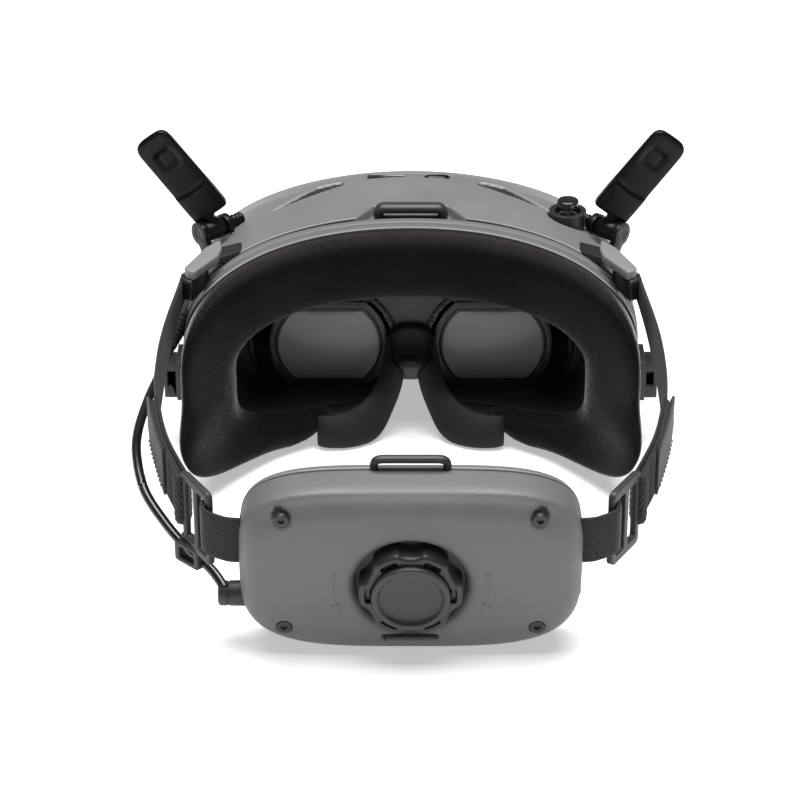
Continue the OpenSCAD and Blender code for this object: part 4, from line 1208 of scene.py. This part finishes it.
STRAP_PATH = [(-76.2, -33, 42), (-79.6, -54, 36.5), (-81.6, -74, 31), (-81.4, -92, 26.6),
              (-77.4, -112, 21.2),
              (-69.8, -129, 16.4)]
RETURN_PATH = [(-72, -128.6, 16.4), (-78.7, -113, 21), (-82, -98, 25)]
TAIL_PATH = [(-77.6, -119, 19.6), (-81.8, -104, 23.4), (-84.4, -91, 26)]


def band(path, tall, thick, step, ribs=0.0, pitch=1.2, across=22, bow=0.0, cut=0.0, neck=0.0):
    """A flat band on edge along a path, with ribs, a bowed face, a slanted end and a narrowed start."""
    p, dist = even(spline(path, 16), step)
    n = len(p)
    tang = np.gradient(p, axis=0)
    tang /= np.linalg.norm(tang, axis=1, keepdims=True)
    out = np.stack([tang[:, 1], -tang[:, 0], np.zeros(n)], 1)
    out /= np.linalg.norm(out, axis=1, keepdims=True)
    layers = []
    for i in range(n):
        rib = ribs * math.sin(TAU * dist[i] / pitch)
        slant = (1 - cut * smoothstep(dist[-1] - 6, dist[-1],
                                      dist[i])) * (1 - neck * (1 - smoothstep(2, 46, dist[i])))
        line = []
        for face in (1, -1):
            ks = range(across + 1) if face == 1 else range(across, -1, -1)
            for k in ks:
                v = -1 + 2 * k / across
                edge = (1 - abs(v) ** 10) ** 0.5 if abs(v) < 1 else 0.0
                fade = 1 - smoothstep(0.8, 0.92, abs(v))
                t = thick / 2 * (0.25 + 0.75 * edge) + rib * fade + (0.08 if 0.86 < abs(v) < 0.97 else 0.0)
                bowed = bow * (1 - v * v)
                line.append(p[i] + out[i] * (face * t + bowed) + np.array([0, 0, v * tall / 2 * slant]))
        layers.append(line)
    return np.array(layers)


def stitch_row(name, points, normal_shift, s):
    """A row of thread stitches: short rounded bars along a line of points."""
    p, dist = even(points, 0.35)
    verts, faces = [], []
    pitch, length = 2.1, 1.45
    count = int(dist[-1] / pitch)
    for k in range(count):
        a0 = k * pitch + 0.3
        seg = []
        for t in np.linspace(0, 1, 6):
            d = a0 + t * length
            q = np.array([np.interp(d, dist, p[:, c]) for c in range(3)])
            seg.append(q + np.asarray(normal_shift) * (0.02 + 0.2 * math.sin(math.pi * t)))
        tube = tube_loop(seg, [0.06, 0.17, 0.2, 0.2, 0.17, 0.06], 8, closed=False)
        v, f = lofted(list(tube))
        base = len(verts)
        verts += v
        faces += [tuple(base + i for i in q) for q in f]
    verts = [(x * s, y, z) for x, y, z in verts]
    return piece(name, verts, faces, "goggles", "webbing", THREAD)


THREAD = moulded("thread", (0.05, 0.05, 0.051), rough=0.7, grain=4000.0, depth=0.00002, mottle=0.2,
                 sheen=0.3)
BUCKLE_AT, BUCKLE_TURN = np.array([-66.0, -138.4, 14.4]), math.radians(-59.5)


def at_buckle(x, y, z):
    return BUCKLE_AT + np.array([*turn(x, y, BUCKLE_TURN), z])


for side, s in SIDES:
    for part, path, tall, thick, ribs, finish, cut, step, neck in (
            ("band", STRAP_PATH, 18.0, 1.4, 0.17, WEB, 0.0, 0.24, 0.5),
            ("return", RETURN_PATH, 18.0, 1.3, 0.17, WEB, 0.0, 0.24, 0.0),
            ("tail", TAIL_PATH, 17.0, 1.15, 0.0, TAIL, 0.35, 0.6, 0.0)):
        g = band(path, tall, thick, step, ribs, pitch=0.8, cut=cut, bow=0.15, neck=neck)
        g[..., 0] *= s
        verts, faces = lofted(list(g))
        piece("strap_" + side + "_" + part, verts, faces, "goggles", "webbing", finish)
    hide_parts("strap_" + side)
    # the fold round the buckle bar, with its coarse knitted face
    layers = []
    centre = np.array([-71.2, -129.6, 0.0])
    for k in range(61):
        z = 7.5 + 17.8 * k / 60
        r0 = 2.75 * (1 - (abs(2 * k / 60 - 1)) ** 9) ** 0.4 if 0 < k < 60 else 1.2
        line = []
        for j in range(72):
            a = TAU * j / 72
            knit = 0.22 * math.sin(10 * a + (math.pi if int((z - 7.5) / 1.25) % 2
                                             else 0)) * abs(math.sin(math.pi * (z - 7.5) / 1.25))
            r = r0 + knit + 0.35 * math.cos(2 * (a - math.radians(58)))
            line.append((centre[0] + r * math.cos(a), centre[1] + r * math.sin(a), z))
        layers.append(line)
    g = np.array(layers)
    g[..., 0] *= s
    piece("strap_" + side + "_fold", *lofted(list(g)), "goggles", "webbing", WEB)
    # stitching down both edges of the tail
    tail = spline(TAIL_PATH, 12)
    tang = np.gradient(tail, axis=0)
    out = np.stack([tang[:, 1], -tang[:, 0], np.zeros(len(tail))], 1)
    out /= np.linalg.norm(out, axis=1, keepdims=True)
    out *= 1 if out[0, 0] < 0 else -1
    for edge_name, dz in (("upper", 6.9), ("lower", -6.9)):
        stitch_row("strap_" + side + "_stitch_" + edge_name, (tail + out * 0.62 + [0, 0, dz])[2:-4],
                   out[10], s)

    # buckle: a three-bar slide with rounded bars
    loop_b = [at_buckle(x, -1.1, z) for x, z in rounded(9, 13, 2.2)]
    loop_b = [q * [s, 1, 1] for q in loop_b]
    thick_v = (at_buckle(0, 2.2, 0) - BUCKLE_AT) * [s, 1, 1]
    buckle = piece("buckle_" + side + "_frame", *prism(loop_b, thick_v), "goggles", "cover_plastic", BUCKLE,
                   replaces=("buckle_" + side,))
    cutters = []
    for x0 in (-4.0, 4.0):
        pts = [at_buckle(x0 + x, -4, z) * [s, 1, 1] for x, z in rounded(2.8, 10, 0.9)]
        cutters.append(prism(pts, (at_buckle(0, 8, 0) - BUCKLE_AT) * [s, 1, 1]))
    carve(buckle, cutters)
    bevelled(buckle, 0.75, segments=4)

# lead clip under the left buckle
CLIP_AT, CLIP_TURN = np.array([-68.4, -133.4, -1.2]), math.radians(-45)


def at_clip(x, y, z):
    return CLIP_AT + np.array([*turn(x, y, CLIP_TURN), z])


clip = piece("lead_clip", *prism([at_clip(x, -3, z) for x, z in rounded(5.5, 3.6, 1.2)],
                                 at_clip(0, 6, 0) - CLIP_AT), "goggles", "cover_plastic", BUCKLE)
carve(clip, [prism([at_clip(x, -4, z) for x, z in rounded(3.4, 2.0, 0.7)], at_clip(0, 3, 0) - CLIP_AT)])
bevelled(clip, 0.5)
verts, faces = prism([at_clip(x - 2.4, -0.7, z + 3.8) for x, z in rounded(2.2, 1.9, 0.6)],
                     at_clip(0, 2.4, 0) - CLIP_AT)
bevelled(piece("lead_clip_neck", verts, faces, "goggles", "cover_plastic", BUCKLE), 0.35)

# ------------------------------------------------------------------ battery pack

PACK_AT, PACK_LEAN = np.array([0, -147.4, 5.2]), math.radians(8)


def at_pack(q):
    x, y, z = q
    c, s_ = math.cos(PACK_LEAN), math.sin(PACK_LEAN)
    return (PACK_AT[0] + x, PACK_AT[1] + y * c - z * s_, PACK_AT[2] + y * s_ + z * c)


def pack_place(q):
    return lens_point(at_pack(q))


DIAL_Z = -3.0
ray = np.linspace(0, TAU, 720, endpoint=False)


def pack_rim(shrink):
    """Distance from the dial's axis to the pack's edge along each ray."""
    return polar(lambda a: outline(a, 53 - shrink, 30.5 - shrink, shrink - 30.5, 0, 4.1, 3.7), DIAL_Z, ray)


def pack_ring(rad, y):
    return np.stack([rad * np.cos(ray), np.broadcast_to(y, rad.shape), DIAL_Z + rad * np.sin(ray)], 1)


layers = []
for r, y in ((4.0, -6.6), (8.0, -6.6), (12.0, -6.6), (15.0, -6.6), (16.4, -6.62), (16.9, -6.8),
             (17.1, -7.3),
             (17.2, -8.0), (17.4, -8.7), (17.75, -9.35), (18.25, -9.95), (18.9, -10.42), (19.7, -10.74),
             (20.6, -10.92),
             (21.6, -11.0)):
    layers.append(pack_ring(np.minimum(r, pack_rim(7.5) - (21.8 - r) * 0.3), y))
edge = pack_rim(7.5)
for k in range(1, 62):
    f = k / 61
    layers.append(pack_ring(21.6 + (edge - 21.6) * f, -11.0))
RIM_SHAPE = [(6.6, -10.93), (5.7, -10.78), (4.8, -10.52), (3.9, -10.12), (3.1, -9.62), (2.4, -9.0),
             (1.8, -8.25),
             (1.25, -7.35), (0.8, -6.3), (0.45, -5.1), (0.2, -3.8), (0.05, -2.4), (0.0, -1.0), (0.0, 0.6),
             (0.0, 2.2),
             (0.0, 3.8), (0.02, 5.0), (0.1, 5.6), (0.4, 5.85), (1.4, 5.9)]
for shrink, y in RIM_SHAPE:
    layers.append(pack_ring(pack_rim(shrink), y))
pack = np.array(layers)
kx, ky, kz = pack[..., 0], pack[..., 1], pack[..., 2]
front = ky < -4
# crown: the face falls away gently to the sides, more towards the top edge
fall = 1.1 * (np.abs(kx) / 53) ** 3 + 1.6 * smoothstep(8, 30, kz) ** 1.5 * (ky < 0)
outside_dial = smoothstep(18.2, 21, np.hypot(kx, kz - DIAL_Z))
pack[..., 1] += np.where(front, fall * outside_dial * smoothstep(-4, -8, ky), 0)
# screw seats: flat pads let into the curved corners, with a countersunk hole
for sx in (-39.2, 39.2):
    for sz in (-19.4, 23.0):
        d = np.hypot(kx - sx, kz - sz)
        pad_y = -10.1 if sz > 0 else -10.3
        pad_w = smoothstep(8.6, 3.9, d)
        pack[..., 1] = np.where(front, pack[..., 1] * (1 - pad_w) + np.maximum(pack[..., 1], pad_y) * pad_w,
                                pack[..., 1])
        pack[..., 1] += np.where(front, 1.7 * smoothstep(2.65, 2.15, d), 0)
        pack[..., 1] += np.where(front, 0.18 * smoothstep(3.6, 3.0, d), 0)
# turning marks: a raised arrow each side of the dial, one for each direction
for sx in (-1, 1):
    ang = np.degrees(np.arctan2(kz - DIAL_Z, sx * kx))
    rad = np.hypot(kx, kz - DIAL_Z)
    shaft = np.maximum(np.abs(rad - 24.4) - 0.45, (np.abs(ang + 1) - 15) * 0.42)
    head_w = (ang + 24.5) * 0.42
    head = np.maximum(np.maximum(np.abs(rad - 24.4) - 0.42 * np.maximum(head_w, 0), -head_w),
                      (ang + 15.5) * 0.42)
    mark = np.minimum(shaft, head)
    pack[..., 1] -= np.where(front, 0.4 * smoothstep(0.2, -0.2, mark), 0)
# elastic slots in the two sides
slot_gap = np.maximum(np.abs(ky - 0.9) - 2.3, np.abs(kz - 7) - 8.8)
side_wall = np.abs(kx) > 44
pack[..., 0] -= np.where(side_wall, np.sign(kx) * 2.2 * smoothstep(0.45, -0.45, slot_gap), 0)
verts = [tuple(q) for q in pack.reshape(-1, 3)]
faces = grid_faces(len(pack), 720, close_cols=True)
piece("pack_cover_shell", verts, faces, "goggles", "cover_plastic", COVER, replaces=("pack_cover",),
      place=pack_place,
      thick=1.4)

# inner half of the pack, a shade lighter, softly domed towards the head
layers = []
for shrink, y in ((1.4, 6.25), (0.35, 6.3), (0.1, 6.55), (0.1, 7.2), (0.3, 8.0), (0.7, 8.9), (1.3, 9.8),
                  (2.3, 10.5),
                  (3.6, 10.85), (5.2, 11.0)):
    layers.append(pack_ring(pack_rim(shrink), y))
edge = pack_rim(5.2)
for k in range(1, 40):
    f = 1 - k / 40
    layers.append(pack_ring(edge * f, 11.0 - 0.5 * smoothstep(1.0, 0.86, f)))
piece("pack_inner_skin", *lofted(layers), "goggles", "shell_plastic", SHELL, replaces=("pack_inner_shell",),
      place=pack_place)

# loop on the pack's top edge
path = [(-11.1, 6.7, 29.0), (-11.2, 6.7, 31.0), (-11.1, 6.7, 32.4), (-10.4, 6.7, 33.3), (-9.3, 6.7, 33.7)]
path += [(x, 6.7, 33.8) for x in np.linspace(-8, 8, 17)]
path += [(9.3, 6.7, 33.7), (10.4, 6.7, 33.3), (11.1, 6.7, 32.4), (11.2, 6.7, 31.0), (11.1, 6.7, 29.0)]
bar = tube_loop(spline(path, 3), 1.25, 20, closed=False)
bar[..., 1] = 6.7 + (bar[..., 1] - 6.7) * 1.25
piece("pack_top_loop", *lofted(list(bar)), "goggles", "dark_plastic", DARK, replaces=("pack_loop",),
      place=pack_place)

# dial: scalloped ring with six windows, dished cap
spin = np.linspace(0, TAU, 720, endpoint=False)
lobe = np.full(spin.shape, 16.2)
for k in range(6):
    scallop = TAU * k / 6 + math.pi / 2
    dx = np.cos(spin - scallop)
    centre_d, cut_r = 22.6, 8.1
    inner_root = centre_d * dx - np.sqrt(np.maximum(cut_r ** 2 - centre_d ** 2 * (1 - dx ** 2), 0))
    valid = (cut_r ** 2 - centre_d ** 2 * (1 - dx ** 2) > 0) & (dx > 0)
    lobe = np.where(valid, np.minimum(lobe, inner_root), lobe)
kernel = np.hanning(15)
kernel /= kernel.sum()
lobe = np.convolve(np.concatenate([lobe[-7:], lobe, lobe[:7]]), kernel, mode="valid")


def dial_ring_row(f, y):
    """A ring of points f inside the scalloped outline, at depth y."""
    r = lobe - f
    return np.stack([r * np.cos(spin), np.full(r.shape, y), DIAL_Z + r * np.sin(spin)], 1)


layers = [dial_ring_row(0.6, -7.2), dial_ring_row(0.15, -7.4), dial_ring_row(0.0, -8.0),
          dial_ring_row(0.0, -10.0),
         dial_ring_row(0.0, -12.6), dial_ring_row(0.08, -13.3), dial_ring_row(0.3, -13.9),
          dial_ring_row(0.7, -14.3),
         dial_ring_row(1.2, -14.5), dial_ring_row(1.7, -14.55)]
for k in range(1, 15):
    f = k / 14
    r = (lobe - 1.7) * (1 - f) + 12.45 * f
    layers.append(np.stack([r * np.cos(spin), np.full(r.shape, -14.55), DIAL_Z + r * np.sin(spin)], 1))
ring = np.array(layers)
rr = np.hypot(ring[..., 0], ring[..., 2] - DIAL_Z)
aa = np.degrees(np.arctan2(ring[..., 2] - DIAL_Z, ring[..., 0])) % 60
aa = np.abs((aa + 30) % 60 - 30)
window = np.maximum((aa - 12.6) * 0.23 + (rr - 12.4) * 0.22, rr - 14.1)
ring[..., 1] += np.where(ring[..., 1] < -14.2, 1.5 * smoothstep(0.12, -0.2, window), 0)
tail_rows = [np.stack([12.45 * np.cos(spin), np.full(spin.shape, y), DIAL_Z + 12.45 * np.sin(spin)], 1)
             for y in (-13.0, -7.2)]
ring = np.concatenate([ring, tail_rows])
piece("dial_ring_skin", ring.reshape(-1, 3), grid_faces(len(ring), 720, True, True), "tension_dial",
      "dark_plastic",
      DIAL, replaces=("dial_ring",), place=pack_place)
CAP_PROFILE = ((10.0, -14.0), (11.6, -14.0), (12.1, -14.3), (12.2, -15.6), (12.1, -16.1), (11.85, -16.4),
               (11.5, -16.5),
             (11.0, -16.52), (10.6, -16.5), (10.35, -16.4), (10.2, -16.15), (9.9, -15.65), (9.4, -15.2),
               (8.7, -14.95),
             (7.9, -14.85), (6.5, -14.82), (4.5, -14.8), (2.5, -14.8), (0.3, -14.8))
piece("dial_cap_skin", *lofted(turned(CAP_PROFILE, 120, (0.0, DIAL_Z))), "tension_dial", "dark_plastic",
      CAP, replaces=("dial_cap",),
      place=pack_place)
# hub behind the dial, so that the gap round it shows the shaft
HUB_PROFILE = ((4.9, -7.4), (4.9, -5.4), (3.2, -5.2), (3.2, -2.4), (0.4, -2.3))
piece("dial_hub", *lofted(turned(HUB_PROFILE, 48, (0.0, DIAL_Z))), "tension_dial", "dark_plastic", DARK,
      place=pack_place, sharp=40)

# ------------------------------------------------------------------ elastics and power lead

ELASTIC_PATH = [tuple(at_buckle(3.2, 1.5, 1.6)), tuple(at_buckle(4.6, 0.0, 1.5)),
                tuple(at_buckle(6.6, -1.75, 1.2)),
                tuple(at_buckle(9.6, -2.0, 0.7)), (-58.5, -148.3, 13.4), (-54, -148.0, 12.3),
                (-40, -148.2, 12.2)]
for side, s in SIDES:
    g = band(ELASTIC_PATH, 16.0, 1.4, 0.4, 0.0, across=26)
    g[..., 0] *= s
    ob = piece("elastic_" + side + "_band", *lofted(list(g)), "goggles", "elastic", ELASTIC,
               replaces=("elastic_" + side,), ride=False)
    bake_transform(ob)

LEAD_PATH = [(-79.3, -33, 24.5), (-81.5, -41, 21), (-83.6, -52, 19), (-86.8, -68, 17), (-88.8, -85, 14.8),
             (-88.2, -98, 12.4), (-84.6, -112, 8), (-77, -124, 3), (-70.5, -131.5, -0.4),
             (-62.4, -139.6, -3.6),
             (-57.6, -146.4, -6.8)]
p, _ = even(spline(LEAD_PATH, 12), 0.9)
piece("power_lead_jacket", *lofted(list(tube_loop(p, 1.6, 24, closed=False))), "goggles", "lead_jacket",
      JACKET, replaces=("power_lead",))
p, dist = even(spline([(-74.6, -19.2, 31.4), (-77.4, -27, 27.6), (-80.4, -37, 22.8), (-81.2, -39.8, 21.6)],
                      14), 0.28)
rad = []
for d in dist:
    t = d / dist[-1]
    r = 3.7 - 0.25 * t if t < 0.45 else 3.6 - 1.75 * (t - 0.45) / 0.55
    if 0.48 < t < 0.95 and (d % 1.9) < 0.75:
        r -= 0.4
    if t < 0.03 or t > 0.985:
        r -= 0.35
    rad.append(r)
piece("plug_sleeve", *lofted(list(tube_loop(p, rad, 40, closed=False))), "goggles", "soft_rubber", RUBBER,
      replaces=("power_plug",), sharp=50)
OUTLET_PROFILE = ((-60.0, 2.2), (-60.0, 3.2), (-59.7, 3.7), (-59.1, 3.95), (-57.2, 4.0), (-57.0, 3.75),
                  (-56.6, 3.75),
             (-56.4, 4.0), (-51.0, 4.1), (-50.2, 4.1))
piece("lead_outlet_sleeve", *lofted(turned(OUTLET_PROFILE, 56, (0.5, -14.4), along_x=True)), "goggles",
      "dark_plastic", DARK, replaces=("lead_outlet",),
      place=pack_place,
      sharp=45)

# ------------------------------------------------------------------ camera, floor and light

cam_data = bpy.data.cameras.new("camera")
cam_data.lens = 137.25
cam_data.sensor_width = 36.0
cam_data.shift_x = -0.0134
camera = bpy.data.objects.new("camera", cam_data)
camera.location = (0.0, -0.8915, 0.53055)
camera.rotation_euler = (math.radians(61), 0, 0)
bpy.context.scene.collection.objects.link(camera)
bpy.context.scene.camera = camera

me = bpy.data.meshes.new("floor")
me.from_pydata([(-6, -6, -0.0006), (6, -6, -0.0006), (6, 6, -0.0006), (-6, 6, -0.0006)], [], [(0, 1, 2, 3)])
floor = bpy.data.objects.new("floor", me)
bpy.context.scene.collection.objects.link(floor)
floor_mat, floor_nodes, _ = new_material("floor_white")
fb = floor_nodes["Principled BSDF"]
fb.inputs["Base Color"].default_value = (0.8, 0.8, 0.8, 1)
fb.inputs["Roughness"].default_value = 0.9
fb.inputs["Emission Color"].default_value = (1, 1, 1, 1)
fb.inputs["Emission Strength"].default_value = 0.42
floor.data.materials.append(floor_mat)
floor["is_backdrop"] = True

world = bpy.data.worlds.new("studio")
bpy.context.scene.world = world
world.use_nodes = True
world.node_tree.nodes["Background"].inputs["Color"].default_value = (1, 1, 1, 1)
world.node_tree.nodes["Background"].inputs["Strength"].default_value = 0.15
bpy.context.scene.view_settings.view_transform = "Standard"


def area(name, place_at, towards, size, watts):
    data = bpy.data.lights.new(name, "AREA")
    data.shape = "RECTANGLE"
    data.size, data.size_y = size
    data.energy = watts
    ob = bpy.data.objects.new(name, data)
    ob.location = place_at
    ob.rotation_euler = (Vector(towards) - Vector(place_at)).to_track_quat("-Z", "Y").to_euler()
    bpy.context.scene.collection.objects.link(ob)
    return ob


area("top_soft", (0, 0.1, 1.5), (0, 0.0, 0.05), (1.3, 1.0), 44)
area("front_soft", (0, -1.2, 0.5), (0, 0, 0.05), (1.0, 0.5), 0.6)

low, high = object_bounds()
